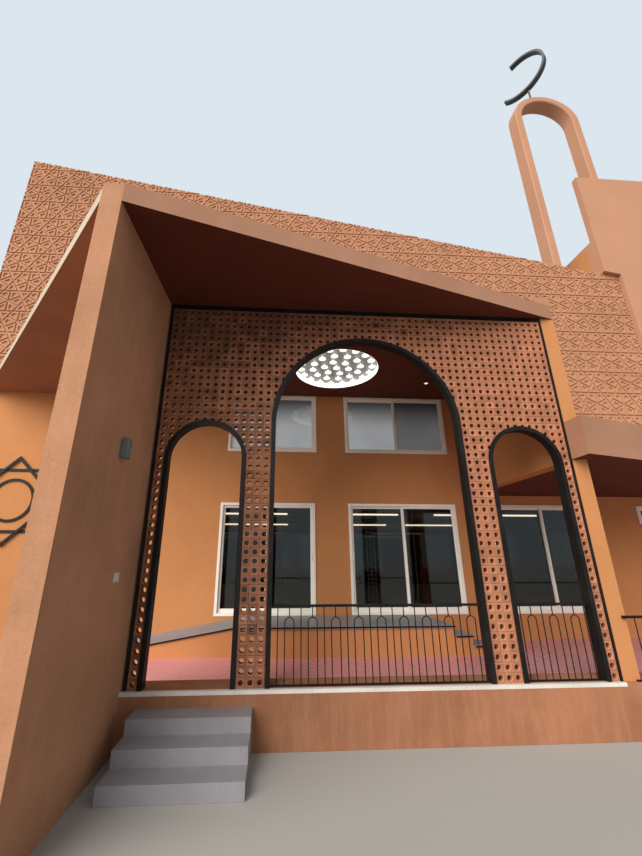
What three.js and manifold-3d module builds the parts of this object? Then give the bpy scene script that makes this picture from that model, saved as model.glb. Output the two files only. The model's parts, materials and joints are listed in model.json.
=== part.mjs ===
// Neighbourhood mosque: a two-storey prayer hall behind a porch with a perforated brick screen,
// folded canopies, a relief upper wall, a tower wall and an arch that carries an open crescent.
// Millimetres, +Z up, +X along the front, +Y into the building, Z = 0 on the ground.

import * as THREE from 'three';
import { mergeVertices } from 'three/addons/utils/BufferGeometryUtils.js';
import Module from 'manifold-3d';

const wasm = await Module();
wasm.setup();

// Driving dimensions

const BLOCK = 115; // pitch of the square clay blocks, which every size below is a multiple of
const FLOOR = 600; // porch floor above the ground
const GAP = 0.3; // clearance round curved or sloping pieces that fit into each other
const ARC_STEPS = 24;

const blocks = (count) => count * BLOCK;
const above = (count) => FLOOR + count * BLOCK; // a height counted from the porch floor

const SCREEN_HALF = blocks(26.8);
const SCREEN_THICK = 100;
const SCREEN_FOOT = above(0.1);
const SCREEN_TOP = above(46.7);
const BORDER = blocks(0.3);
const TOP_BORDER = blocks(0.6);

const MAIN_ARCH = { x: 0, radius: blocks(12.46), spring: above(29.75) };
const LEFT_ARCH = { x: blocks(-20.5), radius: blocks(4.96), spring: above(24.65) };
const RIGHT_ARCH = { x: blocks(20.5), radius: blocks(4.96), spring: above(24.65) };
const ARCH_BAR = 60;
const ARCH_FRAME_FRONT = -20;
const ARCH_FRAME_BACK = SCREEN_THICK + 20;

const MAIN_Y = blocks(30.5); // front face of the hall wall
const WALL = 230;
const CEILING = above(46.7); // over the porch
const SOFFIT_EDGE = above(45.85); // underside of the left canopy
const LEFT_X = blocks(-77.3);
const RIGHT_X = blocks(100);
const BACK_Y = blocks(118);
const RELIEF_RIGHT = blocks(76.4);
const RELIEF_TOP_LEFT = above(112);
const RELIEF_TOP_RIGHT = above(83);
const ROOF_DROP = 300; // roof surface below the top of the relief wall
const ROOF_THICK = 200;

const HALL_FLOOR = above(2.86);
const SLAB_THICK = 200;
const UPPER_FLOOR = above(28.6);

const FIN = { x0: blocks(-29), x1: blocks(-27), front: blocks(-17.5) };
const CANOPY_TOP = above(47.6);
const LEFT_CANOPY_CORNER = { x: blocks(-72.7), y: MAIN_Y };
// The porch canopy's soffit falls from the screen's head to the fin. Its front edge stands up as a fascia that
// climbs to the right, where a head over the pillar ends it.
const SOFFIT_BEND = blocks(-0.1);
const FASCIA = {
  thick: blocks(1.36), lowBottom: above(45.43), lowTop: above(47.7), highTop: above(49.1), head: above(50.45),
};
const LIGHT = { x: blocks(-0.9), y: blocks(18.2), radius: blocks(7.8), recess: 140 };
const LIGHT_DRUM = 60; // wall and lid of the round upstand over the light
const DOWNLIGHT = { x: blocks(18.1), y: blocks(22.5) };

const PLINTH_FRONT = blocks(-0.5);
const KERB_BACK = blocks(3.4); // the screen stands on a kerb, and the porch floor lies one riser lower
const PORCH_FLOOR = above(-1.43);
const FLOOR_COAT = 40;
const STRIP_FACE = 42; // height of the white strip along the kerb's front edge
const PILLAR = { x0: blocks(26.8), x1: blocks(28.9), front: 0, back: blocks(1.7) };
const TERRACE_BOTTOM = above(25.2);
const TERRACE_TOP = above(30.3);
const TERRACE_SLAB = 200;
const TERRACE_FRONT = blocks(-3);
const TERRACE_LEFT = blocks(26.8);
const TERRACE_SLOPE = Math.tan(THREE.MathUtils.degToRad(15.8));
const PARAPET = 120;

const TOWER = { front: blocks(29.3), back: blocks(30.9), left: blocks(72.1), top: above(116.9) };
const WING_TOP = above(94.7); // walls of the flat-roofed right wing
const MINARET = {
  x: blocks(72.7), y0: blocks(32.8), y1: blocks(36.8), outer: blocks(10.7), inner: blocks(8.4), spring: above(147.1),
};
const CRESCENT = {
  x: blocks(70), y: blocks(36), z: above(172.6), radius: blocks(8.16), turn: -56.4, from: -136.7, to: 103.3,
  width: 200, depth: 80, stem: 60,
};

const WINDOW_FRAME = blocks(1); // face width of the white frames with their sashes
const FRAME_DEPTH = 110;
const FRAME_PROUD = 20; // frame stands this far out of the wall
const GLASS = 12;
const LOWER_SILL = above(2.9);
const LOWER_HEAD = above(23.3);
const UPPER_SILL = above(33.9);
const UPPER_HEAD = above(46.6);
const WINDOWS = {
  lower_left_window: { x0: blocks(-22.75), x1: blocks(-4.1), z0: LOWER_SILL, z1: LOWER_HEAD, sashes: 2 },
  lower_centre_window: { x0: blocks(2.6), x1: blocks(24.65), z0: LOWER_SILL, z1: LOWER_HEAD, sashes: 2 },
  lower_right_window: { x0: blocks(32), x1: blocks(53.6), z0: LOWER_SILL, z1: LOWER_HEAD, sashes: 2 },
  high_right_window: { x0: blocks(63.8), x1: blocks(73), z0: above(19.7), z1: LOWER_HEAD, sashes: 1 },
  upper_left_window: { x0: blocks(-22.1), x1: blocks(-3.7), z0: UPPER_SILL, z1: UPPER_HEAD, sashes: 2 },
  upper_centre_window: { x0: blocks(2.4), x1: blocks(24.4), z0: UPPER_SILL, z1: UPPER_HEAD, sashes: 2 },
};

const PLATFORM = { x0: blocks(-17), x1: blocks(16.5), front: blocks(18.9), top: above(2.86) };
const RAMP_FOOT = blocks(-42.7);
const RAMP_FRONT = blocks(20);
const PORCH_LEFT = blocks(-36);
const PORCH_BACK_LEFT = blocks(-43.5); // left end of the strip along the hall wall

const RAIL_TOP = above(8);
const RAIL_MODULE = blocks(2.58);
const RAIL_HEIGHT = 40;
const RAIL_BAR = 14;

// Colours and surfaces

const surface = (color, roughness = 0.85, metalness = 0) =>
  new THREE.MeshStandardMaterial({ color, roughness, metalness });

const PLASTER = surface(0xcd946e);
const SOFFIT = surface(0x4a2015);
const RELIEF = surface(0xc08a68);
const CLAY = surface(0xa0644c);
const BLACK_STEEL = surface(0x33302c, 0.5, 0.6);
const WHITE_FRAME = surface(0xd8cfc0, 0.4);
const CLEAR_GLASS = surface(0x20262a, 0.05);
const FLOOR_PAINT = surface(0xb06060, 0.25);
const GREY_STONE = surface(0x8e8688, 0.6);
const WHITE_STONE = surface(0xd6cfc4, 0.6);
const CONCRETE = surface(0x9a948c);
const LAMP_METAL = surface(0x4b4f52, 0.4, 0.7);
const WHITE_PLASTIC = surface(0xd9d4c8, 0.4);
const LIGHT_DISC = surface(0xf7f6f0, 0.3);
const GREY_STEEL = surface(0x5a5a5a, 0.4, 0.8);

// Geometry helpers

function box(x0, x1, y0, y1, z0, z1) {
  const geometry = new THREE.BoxGeometry(x1 - x0, y1 - y0, z1 - z0);
  return geometry.translate((x0 + x1) / 2, (y0 + y1) / 2, (z0 + z1) / 2);
}

function polygon(points) {
  return new THREE.Shape(points.map(([a, b]) => new THREE.Vector2(a, b)));
}

// A plan outline pushed up from z0 to z1.
function rise(shape, z0, z1) {
  const options = { depth: z1 - z0, bevelEnabled: false, curveSegments: ARC_STEPS };
  return new THREE.ExtrudeGeometry(shape, options).translate(0, 0, z0);
}

// A front outline, drawn in X and Z, pushed back from y0 to y1.
function pushBack(shape, y0, y1) {
  const options = { depth: y1 - y0, bevelEnabled: false, curveSegments: ARC_STEPS };
  return new THREE.ExtrudeGeometry(shape, options).rotateX(Math.PI / 2).translate(0, y1, 0);
}

// A side outline, drawn in Y and Z, pushed along X from x0 to x1.
function pushAlong(shape, x0, x1) {
  const options = { depth: x1 - x0, bevelEnabled: false, curveSegments: ARC_STEPS };
  const toSide = new THREE.Matrix4().makeBasis(
    new THREE.Vector3(0, 1, 0), new THREE.Vector3(0, 0, 1), new THREE.Vector3(1, 0, 0));
  return new THREE.ExtrudeGeometry(shape, options).applyMatrix4(toSide).translate(x0, 0, 0);
}

function solid(geometry) {
  geometry.deleteAttribute('normal');
  geometry.deleteAttribute('uv');
  const merged = mergeVertices(geometry, 1e-3);
  return new wasm.Manifold(new wasm.Mesh({
    numProp: 3, vertProperties: merged.attributes.position.array, triVerts: new Uint32Array(merged.index.array),
  }));
}

function shell(manifold) {
  const mesh = manifold.getMesh();
  const geometry = new THREE.BufferGeometry();
  geometry.setAttribute('position', new THREE.BufferAttribute(new Float32Array(mesh.vertProperties), 3));
  geometry.setIndex(new THREE.BufferAttribute(new Uint32Array(mesh.triVerts), 1));
  return geometry;
}

function joined(geometries) {
  return shell(geometries.map(solid).reduce((sum, next) => sum.add(next)));
}

function pierced(geometry, cutters) {
  return shell(cutters.map(solid).reduce((body, cutter) => body.subtract(cutter), solid(geometry)));
}

const building = new THREE.Group();

function addPiece(name, geometry, material) {
  const mesh = new THREE.Mesh(geometry, material);
  mesh.name = name;
  building.add(mesh);
}

// An inverted U between two radii, standing on z0.
function archBand(x, outer, inner, spring, z0) {
  const shape = new THREE.Shape();
  shape.moveTo(x + outer, z0);
  shape.lineTo(x + outer, spring);
  shape.absarc(x, spring, outer, 0, Math.PI, false);
  shape.lineTo(x - outer, z0);
  shape.lineTo(x - inner, z0);
  shape.lineTo(x - inner, spring);
  shape.absarc(x, spring, inner, Math.PI, 0, true);
  shape.lineTo(x + inner, z0);
  return shape;
}

// The top of the relief wall falls in one straight line to the right.
function reliefTop(x) {
  const fall = (RELIEF_TOP_RIGHT - RELIEF_TOP_LEFT) / (RELIEF_RIGHT - LEFT_X);
  return RELIEF_TOP_LEFT + fall * (x - LEFT_X);
}

// The terrace's front edge runs back at a slant from its left corner.
function terraceFront(x) {
  return TERRACE_FRONT + TERRACE_SLOPE * (x - TERRACE_LEFT);
}

// Plinth, porch floor and entrance steps

const STEP_COUNT = 4;
const STEP_RISE = FLOOR / STEP_COUNT;
const STEP_TREAD = 300;
const STEPS_LEFT = blocks(-25.2);
const STEPS_RIGHT = blocks(-13.6);

function buildPlinth() {
  const front = PLINTH_FRONT;
  const outline = polygon([
    [FIN.x1, front], [RIGHT_X, front], [RIGHT_X, TOWER.front], [RELIEF_RIGHT, TOWER.front], [RELIEF_RIGHT, MAIN_Y],
    [PORCH_BACK_LEFT, MAIN_Y], [PORCH_BACK_LEFT, PLATFORM.front], [PORCH_LEFT, PLATFORM.front],
    [PORCH_LEFT, SCREEN_THICK], [FIN.x1, SCREEN_THICK],
  ]);
  const stripBottom = SCREEN_FOOT - STRIP_FACE;
  const kerb = polygon([
    [front, 0], [KERB_BACK, 0], [KERB_BACK, SCREEN_FOOT], [0, SCREEN_FOOT], [0, stripBottom], [front, stripBottom],
  ]);
  const plinth = joined([
    rise(outline, 0, PORCH_FLOOR - FLOOR_COAT),
    pushAlong(kerb, FIN.x1, RIGHT_X),
    box(PILLAR.x0, RIGHT_X, front, 5, stripBottom - 5, SCREEN_FOOT),
  ]);
  addPiece('porch_plinth', plinth, PLASTER);
  const floorOutline = polygon([
    [FIN.x1, KERB_BACK], [RIGHT_X, KERB_BACK], [RIGHT_X, TOWER.front], [RELIEF_RIGHT, TOWER.front],
    [RELIEF_RIGHT, MAIN_Y], [PORCH_BACK_LEFT, MAIN_Y], [PORCH_BACK_LEFT, PLATFORM.front],
    [PORCH_LEFT, PLATFORM.front], [PORCH_LEFT, SCREEN_THICK], [FIN.x1, SCREEN_THICK],
  ]);
  addPiece('porch_floor', rise(floorOutline, PORCH_FLOOR - FLOOR_COAT, PORCH_FLOOR), FLOOR_PAINT);
  addPiece('threshold_strip', box(FIN.x1, PILLAR.x0, front, 0, stripBottom, SCREEN_FOOT), WHITE_STONE);
}

function buildEntranceSteps() {
  const front = PLINTH_FRONT;
  const points = [[front, 0]];
  for (let step = 0; step < STEP_COUNT - 1; step += 1) {
    const height = FLOOR - (step + 1) * STEP_RISE;
    points.push([front - step * STEP_TREAD, height]);
    points.push([front - (step + 1) * STEP_TREAD, height]);
  }
  points.push([front - (STEP_COUNT - 1) * STEP_TREAD, 0]);
  addPiece('entrance_steps', pushAlong(polygon(points.reverse()), STEPS_LEFT, STEPS_RIGHT), GREY_STONE);
}

// Brick screen with its steel border and arch frames

function buildScreen() {
  const outline = new THREE.Shape();
  outline.moveTo(-SCREEN_HALF + BORDER, SCREEN_FOOT);
  for (const arch of [LEFT_ARCH, MAIN_ARCH, RIGHT_ARCH]) {
    const radius = arch.radius + GAP;
    outline.lineTo(arch.x - radius, SCREEN_FOOT);
    outline.lineTo(arch.x - radius, arch.spring);
    outline.absarc(arch.x, arch.spring, radius, Math.PI, 0, true);
    outline.lineTo(arch.x + radius, SCREEN_FOOT);
  }
  outline.lineTo(SCREEN_HALF - BORDER, SCREEN_FOOT);
  outline.lineTo(SCREEN_HALF - BORDER, SCREEN_TOP - TOP_BORDER);
  outline.lineTo(-SCREEN_HALF + BORDER, SCREEN_TOP - TOP_BORDER);
  addPiece('brick_screen', pushBack(outline, 0, SCREEN_THICK), CLAY);

  const border = polygon([
    [-SCREEN_HALF, SCREEN_FOOT], [-SCREEN_HALF + BORDER, SCREEN_FOOT], [-SCREEN_HALF + BORDER, SCREEN_TOP - TOP_BORDER],
    [SCREEN_HALF - BORDER, SCREEN_TOP - TOP_BORDER], [SCREEN_HALF - BORDER, SCREEN_FOOT], [SCREEN_HALF, SCREEN_FOOT],
    [SCREEN_HALF, SCREEN_TOP], [-SCREEN_HALF, SCREEN_TOP],
  ]);
  addPiece('screen_border', pushBack(border, -10, SCREEN_THICK), BLACK_STEEL);

  const frames = { main_arch_frame: MAIN_ARCH, left_arch_frame: LEFT_ARCH, right_arch_frame: RIGHT_ARCH };
  for (const [name, arch] of Object.entries(frames)) {
    const band = archBand(arch.x, arch.radius, arch.radius - ARCH_BAR, arch.spring, SCREEN_FOOT);
    addPiece(name, pushBack(band, ARCH_FRAME_FRONT, ARCH_FRAME_BACK), BLACK_STEEL);
  }
}

// Single bars alternate with pairs of bars that a small round arch joins. One pair is centred on bowX.
function railing(x0, x1, yMid, top, bowX, withBows = true) {
  const half = RAIL_BAR / 2;
  const railHalf = 15;
  const footRail = 20;
  const foot = SCREEN_FOOT;
  const crown = top - blocks(1.3);
  const pairHalf = blocks(0.58);
  const spring = crown - pairHalf;
  const pieces = [
    box(x0, x1, yMid - railHalf, yMid + railHalf, top - RAIL_HEIGHT, top),
    box(x0, x1, yMid - railHalf, yMid + railHalf, foot, foot + footRail),
  ];
  const upright = (x, upTo) => box(x - half, x + half, yMid - half, yMid + half, foot + footRail / 2, upTo);
  const underRail = top - RAIL_HEIGHT / 2;
  const bowOptions = { depth: RAIL_BAR, bevelEnabled: false, curveSegments: 5 };
  const margin = 25;
  const first = Math.ceil((x0 + margin - bowX) / RAIL_MODULE - 0.5);
  for (let index = first; bowX + index * RAIL_MODULE < x1; index += 1) {
    const middle = bowX + index * RAIL_MODULE;
    const single = middle + RAIL_MODULE / 2;
    if (single < x1 - margin) {
      pieces.push(upright(single, underRail));
    }
    const fits = middle - pairHalf > x0 + margin && middle + pairHalf < x1 - margin;
    if (!fits) {
      continue;
    }
    const barTop = withBows ? spring : underRail;
    pieces.push(upright(middle - pairHalf, barTop), upright(middle + pairHalf, barTop));
    if (withBows) {
      const bow = archBand(middle, pairHalf + half, pairHalf - half, spring, spring - 5);
      pieces.push(new THREE.ExtrudeGeometry(bow, bowOptions).rotateX(Math.PI / 2).translate(0, yMid + half, 0));
      pieces.push(box(middle - half, middle + half, yMid - half, yMid + half, crown, underRail));
    }
  }
  return joined(pieces);
}

function buildRailings() {
  const middle = SCREEN_THICK / 2;
  const inner = (arch) => arch.radius - ARCH_BAR - GAP;
  const span = (arch) => [arch.x - inner(arch), arch.x + inner(arch)];
  addPiece('main_arch_railing', railing(...span(MAIN_ARCH), middle, RAIL_TOP, blocks(0.38)), BLACK_STEEL);
  addPiece('right_arch_railing', railing(...span(RIGHT_ARCH), middle, RAIL_TOP, RIGHT_ARCH.x), BLACK_STEEL);
  const rightBay = railing(blocks(28.3), blocks(99.6), PLINTH_FRONT + 30, above(6.65), blocks(31), false);
  addPiece('right_bay_railing', rightBay, BLACK_STEEL);
}

// Fin wall with its lamp and switch plate

function buildFin() {
  addPiece('fin_wall', box(FIN.x0, FIN.x1, FIN.front, SCREEN_THICK, 0, CANOPY_TOP), PLASTER);
  const lampFace = FIN.x1 + 90;
  const lampMid = blocks(-8.8);
  addPiece('wall_lamp', box(FIN.x1, lampFace, lampMid - 55, lampMid + 55, above(22.2), above(24.2)), LAMP_METAL);
  addPiece('switch_plate', box(FIN.x1, FIN.x1 + 12, blocks(-6.1), blocks(-4.9), above(10.7), above(11.6)), WHITE_PLASTIC);
}

// Canopies and the ceiling light

function buildCanopies() {
  const margin = 100;
  const ahead = FIN.front - margin;
  const behind = MAIN_Y + margin;
  const alongPorch = (outline) => solid(pushAlong(polygon(outline), FIN.x0 - margin, PILLAR.x1 + margin));
  const lowest = above(44);
  const highest = above(52);
  const fall = (CEILING - FASCIA.lowBottom) / (SOFFIT_BEND - FIN.front);
  const below = alongPorch([
    [ahead, CEILING - fall * (SOFFIT_BEND - ahead)], [SOFFIT_BEND, CEILING], [behind, CEILING], [behind, lowest],
    [ahead, lowest],
  ]);
  const climb = (FASCIA.highTop - FASCIA.lowTop) / (PILLAR.front - FIN.front);
  const fasciaTop = (y) => FASCIA.lowTop + climb * (y - FIN.front);
  const overFascia = alongPorch([
    [ahead, fasciaTop(ahead)], [behind, fasciaTop(behind)], [behind, highest + fasciaTop(behind)],
    [ahead, highest + fasciaTop(behind)],
  ]);
  const porch = polygon([
    [FIN.x1, FIN.front], [PILLAR.x1, PILLAR.front], [PILLAR.x1, MAIN_Y], [FIN.x0, MAIN_Y], [FIN.x0, SCREEN_THICK],
    [FIN.x1, SCREEN_THICK],
  ]);
  const frontEdge = polygon([
    [FIN.x1, FIN.front], [PILLAR.x1, PILLAR.front], [PILLAR.x1, PILLAR.front + FASCIA.thick],
    [FIN.x1, FIN.front + FASCIA.thick],
  ]);
  const upstand = solid(rise(frontEdge, CEILING, highest)).subtract(overFascia);
  const head = box(PILLAR.x0, PILLAR.x1, PILLAR.front, PILLAR.back, CEILING, FASCIA.head);
  const cylinder = (radius, z0, z1) => solid(new THREE.CylinderGeometry(radius, radius, z1 - z0, 48)
    .rotateX(Math.PI / 2).translate(LIGHT.x, LIGHT.y, (z0 + z1) / 2));
  const recessTop = CEILING + LIGHT.recess;
  const slab = solid(rise(porch, lowest + margin, CANOPY_TOP))
    .subtract(below)
    .add(upstand)
    .add(solid(head))
    .add(cylinder(LIGHT.radius + LIGHT_DRUM, CEILING, recessTop + LIGHT_DRUM))
    .subtract(cylinder(LIGHT.radius, CEILING - 10, recessTop));
  addPiece('porch_canopy', shell(slab), SOFFIT);

  const left = polygon([
    [FIN.x0, FIN.front + 20], [FIN.x0, MAIN_Y], [LEFT_CANOPY_CORNER.x, LEFT_CANOPY_CORNER.y],
  ]);
  addPiece('left_canopy', rise(left, SOFFIT_EDGE, CANOPY_TOP), SOFFIT);
}

// Glowing discs hang below a round tray in rings of growing size.
function buildCeilingLight() {
  const rings = [[1, 0], [6, 0.3], [12, 0.58], [18, 0.86]];
  const discRadius = 75;
  const trayTop = CEILING + LIGHT.recess - GAP;
  const disc = (radius, height, sides, x, y, z) => new THREE.CylinderGeometry(radius, radius, height, sides)
    .rotateX(Math.PI / 2).translate(x, y, z);
  const tray = new THREE.CylinderGeometry(LIGHT.radius - 2, LIGHT.radius - 2, 30, 48)
    .rotateX(Math.PI / 2).translate(LIGHT.x, LIGHT.y, trayTop - 15);
  const pieces = [tray];
  for (const [count, reach] of rings) {
    for (let index = 0; index < count; index += 1) {
      const angle = (index / count) * 2 * Math.PI + reach;
      const x = LIGHT.x + Math.cos(angle) * reach * LIGHT.radius;
      const y = LIGHT.y + Math.sin(angle) * reach * LIGHT.radius;
      pieces.push(disc(12, 60, 4, x, y, trayTop - 50));
      pieces.push(disc(discRadius, 24, 10, x, y, trayTop - 84));
    }
  }
  addPiece('ceiling_light', joined(pieces), LIGHT_DISC);
  const spot = new THREE.CylinderGeometry(55, 55, 12, 24)
    .rotateX(Math.PI / 2).translate(DOWNLIGHT.x, DOWNLIGHT.y, CEILING - 6);
  addPiece('downlight', spot, LIGHT_DISC);
}

// Right pillar, side wall and terrace

function buildRightSide() {
  addPiece('right_pillar', box(PILLAR.x0, PILLAR.x1, PILLAR.front, PILLAR.back, SCREEN_FOOT, CEILING), PLASTER);
  addPiece('porch_side_wall', box(PILLAR.x0, PILLAR.x1, PILLAR.back, MAIN_Y, TERRACE_BOTTOM, CEILING), PLASTER);

  const slab = polygon([
    [TERRACE_LEFT, TERRACE_FRONT], [RIGHT_X, terraceFront(RIGHT_X)], [RIGHT_X, TOWER.front],
    [RELIEF_RIGHT, TOWER.front], [RELIEF_RIGHT, MAIN_Y], [PILLAR.x1, MAIN_Y], [PILLAR.x1, PILLAR.front],
    [TERRACE_LEFT, PILLAR.front],
  ]);
  addPiece('terrace_slab', rise(slab, TERRACE_BOTTOM, TERRACE_BOTTOM + TERRACE_SLAB), PLASTER);

  const parapet = polygon([
    [TERRACE_LEFT, TERRACE_FRONT], [RIGHT_X, terraceFront(RIGHT_X)], [RIGHT_X, terraceFront(RIGHT_X) + PARAPET],
    [TERRACE_LEFT + PARAPET, terraceFront(TERRACE_LEFT + PARAPET) + PARAPET],
    [TERRACE_LEFT + PARAPET, PILLAR.front], [TERRACE_LEFT, PILLAR.front],
  ]);
  addPiece('terrace_parapet', rise(parapet, TERRACE_BOTTOM + TERRACE_SLAB, TERRACE_TOP), PLASTER);
}

// Hall walls, floors and roof

const HIDDEN_WINDOW = blocks(14); // width of each window on the hidden sides
const HIDDEN_SILL = LOWER_SILL + blocks(5);

// Two rows of window cutters, evenly spread between two ends of a hidden wall.
function twoStoreys(from, to, count, makeCutter) {
  const bay = (to - from) / count;
  const cutters = [];
  for (let index = 0; index < count; index += 1) {
    const middle = from + (index + 0.5) * bay;
    const span = [middle - HIDDEN_WINDOW / 2, middle + HIDDEN_WINDOW / 2];
    cutters.push(makeCutter(...span, HIDDEN_SILL, LOWER_HEAD));
    cutters.push(makeCutter(...span, UPPER_SILL, UPPER_HEAD));
  }
  return cutters;
}

function buildHallWalls() {
  const lowWall = polygon([
    [LEFT_X, 0], [RELIEF_RIGHT, 0], [RELIEF_RIGHT, TERRACE_BOTTOM + TERRACE_SLAB],
    [PILLAR.x1, TERRACE_BOTTOM + TERRACE_SLAB], [PILLAR.x1, CANOPY_TOP], [LEFT_X, CANOPY_TOP],
  ]);
  const cutters = Object.values(WINDOWS).map(({ x0, x1, z0, z1 }) => (
    box(x0 - GAP, x1 + GAP, MAIN_Y - WALL, MAIN_Y + 2 * WALL, z0 - GAP, z1 + GAP)));
  addPiece('front_wall', pierced(pushBack(lowWall, MAIN_Y, MAIN_Y + WALL), cutters), PLASTER);
  const reliefWall = polygon([
    [LEFT_X, CANOPY_TOP], [PILLAR.x1, CANOPY_TOP], [PILLAR.x1, TERRACE_BOTTOM + TERRACE_SLAB],
    [RELIEF_RIGHT, TERRACE_BOTTOM + TERRACE_SLAB], [RELIEF_RIGHT, RELIEF_TOP_RIGHT], [LEFT_X, RELIEF_TOP_LEFT],
  ]);
  addPiece('relief_wall', pushBack(reliefWall, MAIN_Y, MAIN_Y + WALL), RELIEF);

  const wingWall = polygon([
    [RELIEF_RIGHT, 0], [RIGHT_X, 0], [RIGHT_X, WING_TOP], [TOWER.left, WING_TOP],
    [TOWER.left, reliefTop(TOWER.left) + GAP], [RELIEF_RIGHT, reliefTop(RELIEF_RIGHT) + GAP],
  ]);
  addPiece('right_wing_wall', pushBack(wingWall, MAIN_Y, MAIN_Y + WALL), PLASTER);

  const sideFront = MAIN_Y + WALL;
  const side = (top) => polygon([[sideFront, 0], [BACK_Y, 0], [BACK_Y, top], [sideFront, top]]);
  const sideCutters = (x0, x1) => twoStoreys(sideFront, BACK_Y - WALL, 3, (y0, y1, z0, z1) => (
    box(x0 - WALL, x1 + WALL, y0, y1, z0, z1)));
  const sideWall = (x0, x1, top) => pierced(pushAlong(side(top), x0, x1), sideCutters(x0, x1));
  addPiece('left_side_wall', sideWall(LEFT_X, LEFT_X + WALL, reliefTop(LEFT_X + WALL) - GAP), PLASTER);
  addPiece('right_side_wall', sideWall(RIGHT_X - WALL, RIGHT_X, WING_TOP), PLASTER);

  const backLeft = LEFT_X + WALL;
  const backRight = RIGHT_X - WALL;
  const back = polygon([
    [backLeft, 0], [backRight, 0], [backRight, WING_TOP], [TOWER.left, WING_TOP], [TOWER.left, reliefTop(TOWER.left)],
    [backLeft, reliefTop(backLeft)],
  ]);
  const backCutters = twoStoreys(backLeft, backRight, 6, (left, right, z0, z1) => (
    box(left, right, BACK_Y - 2 * WALL, BACK_Y + WALL, z0, z1)));
  addPiece('back_wall', pierced(pushBack(back, BACK_Y - WALL, BACK_Y), backCutters), PLASTER);
}

function buildFloorsAndRoof() {
  const inside = [LEFT_X + WALL, RIGHT_X - WALL, MAIN_Y + WALL, BACK_Y - WALL];
  addPiece('hall_floor', box(...inside, HALL_FLOOR - SLAB_THICK, HALL_FLOOR), CONCRETE);
  addPiece('upper_floor', box(...inside, UPPER_FLOOR - SLAB_THICK, UPPER_FLOOR), CONCRETE);
  const [x0, x1, y0, y1] = inside;
  const slope = (at) => reliefTop(at) - ROOF_DROP;
  const wingWallRight = TOWER.left + WALL;
  const roof = polygon([
    [x0 + GAP, slope(x0) - ROOF_THICK], [wingWallRight, slope(wingWallRight) - ROOF_THICK],
    [wingWallRight, slope(wingWallRight)], [x0 + GAP, slope(x0)],
  ]);
  addPiece('roof_slab', pushBack(roof, y0, y1), CONCRETE);

  const wingSide = polygon([
    [TOWER.left, slope(TOWER.left) + GAP], [wingWallRight, slope(wingWallRight) + GAP], [wingWallRight, WING_TOP],
    [TOWER.left, WING_TOP],
  ]);
  addPiece('wing_side_wall', pushBack(wingSide, y0, y1), PLASTER);
  const wingRoofTop = WING_TOP - ROOF_DROP;
  addPiece('wing_roof', box(wingWallRight, x1, y0, y1, wingRoofTop - ROOF_THICK, wingRoofTop), CONCRETE);
}

// One sheet of glass per storey runs round the left, back and right walls on their inner faces.
function buildHiddenGlass() {
  const x0 = LEFT_X + WALL;
  const x1 = RIGHT_X - WALL;
  const y0 = MAIN_Y + WALL;
  const y1 = BACK_Y - WALL;
  const sheet = polygon([
    [x0, y0], [x0 + GLASS, y0], [x0 + GLASS, y1 - GLASS], [x1 - GLASS, y1 - GLASS], [x1 - GLASS, y0], [x1, y0],
    [x1, y1], [x0, y1],
  ]);
  addPiece('lower_side_glass', rise(sheet, HALL_FLOOR, LOWER_HEAD + 60), CLEAR_GLASS);
  addPiece('upper_side_glass', rise(sheet, UPPER_FLOOR, UPPER_HEAD + 60), CLEAR_GLASS);
}

// Front windows: white frames with a middle post, and one pane behind each

function buildWindows() {
  for (const [name, { x0, x1, z0, z1, sashes }] of Object.entries(WINDOWS)) {
    const front = MAIN_Y - FRAME_PROUD;
    const back = front + FRAME_DEPTH;
    const clear = (x1 - x0 - WINDOW_FRAME * (sashes + 1)) / sashes;
    const cutters = [];
    for (let sash = 0; sash < sashes; sash += 1) {
      const left = x0 + WINDOW_FRAME + sash * (clear + WINDOW_FRAME);
      cutters.push(box(left, left + clear, front - 10, back + 10, z0 + WINDOW_FRAME, z1 - WINDOW_FRAME));
    }
    addPiece(name, pierced(box(x0, x1, front, back, z0, z1), cutters), WHITE_FRAME);
    addPiece(`${name}_glass`, box(x0 + 5, x1 - 5, back, back + GLASS, z0 + 5, z1 - 5), CLEAR_GLASS);
  }
}

// Platform against the hall wall, its ramp and its end steps

function buildPlatform() {
  const nosing = 30;
  const topSlab = 40;
  const { x0, x1, front, top } = PLATFORM;
  const bottom = PORCH_FLOOR;
  addPiece('platform', box(x0, x1, front, MAIN_Y, bottom, top - topSlab), PLASTER);
  addPiece('platform_top', box(x0, x1, front - nosing, MAIN_Y - FRAME_PROUD, top - topSlab, top), GREY_STONE);
  const ramp = polygon([[RAMP_FOOT, bottom + 5], [RAMP_FOOT, bottom], [x0, bottom], [x0, top]]);
  addPiece('platform_ramp', pushBack(ramp, RAMP_FRONT, MAIN_Y), GREY_STONE);
  const tread = blocks(2.9);
  const stepsBack = blocks(23.5);
  const rise = (top - bottom) / 3;
  const steps = polygon([
    [x1, bottom], [x1 + 2 * tread, bottom], [x1 + 2 * tread, bottom + rise], [x1 + tread, bottom + rise],
    [x1 + tread, bottom + 2 * rise], [x1, bottom + 2 * rise],
  ]);
  addPiece('platform_steps', pushBack(steps, front, stepsBack), GREY_STONE);
}

// Tower wall, minaret arch and crescent

function buildTower() {
  const { front, back, left, top } = TOWER;
  const outline = polygon([
    [RELIEF_RIGHT, 0], [RIGHT_X, 0], [RIGHT_X, top], [left, top], [left, reliefTop(left)],
    [RELIEF_RIGHT, reliefTop(RELIEF_RIGHT)],
  ]);
  const upper = box(left, RIGHT_X, MAIN_Y - 10, back, WING_TOP, top);
  addPiece('tower_wall', joined([pushBack(outline, front, MAIN_Y - GAP), upper]), PLASTER);
}

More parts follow.
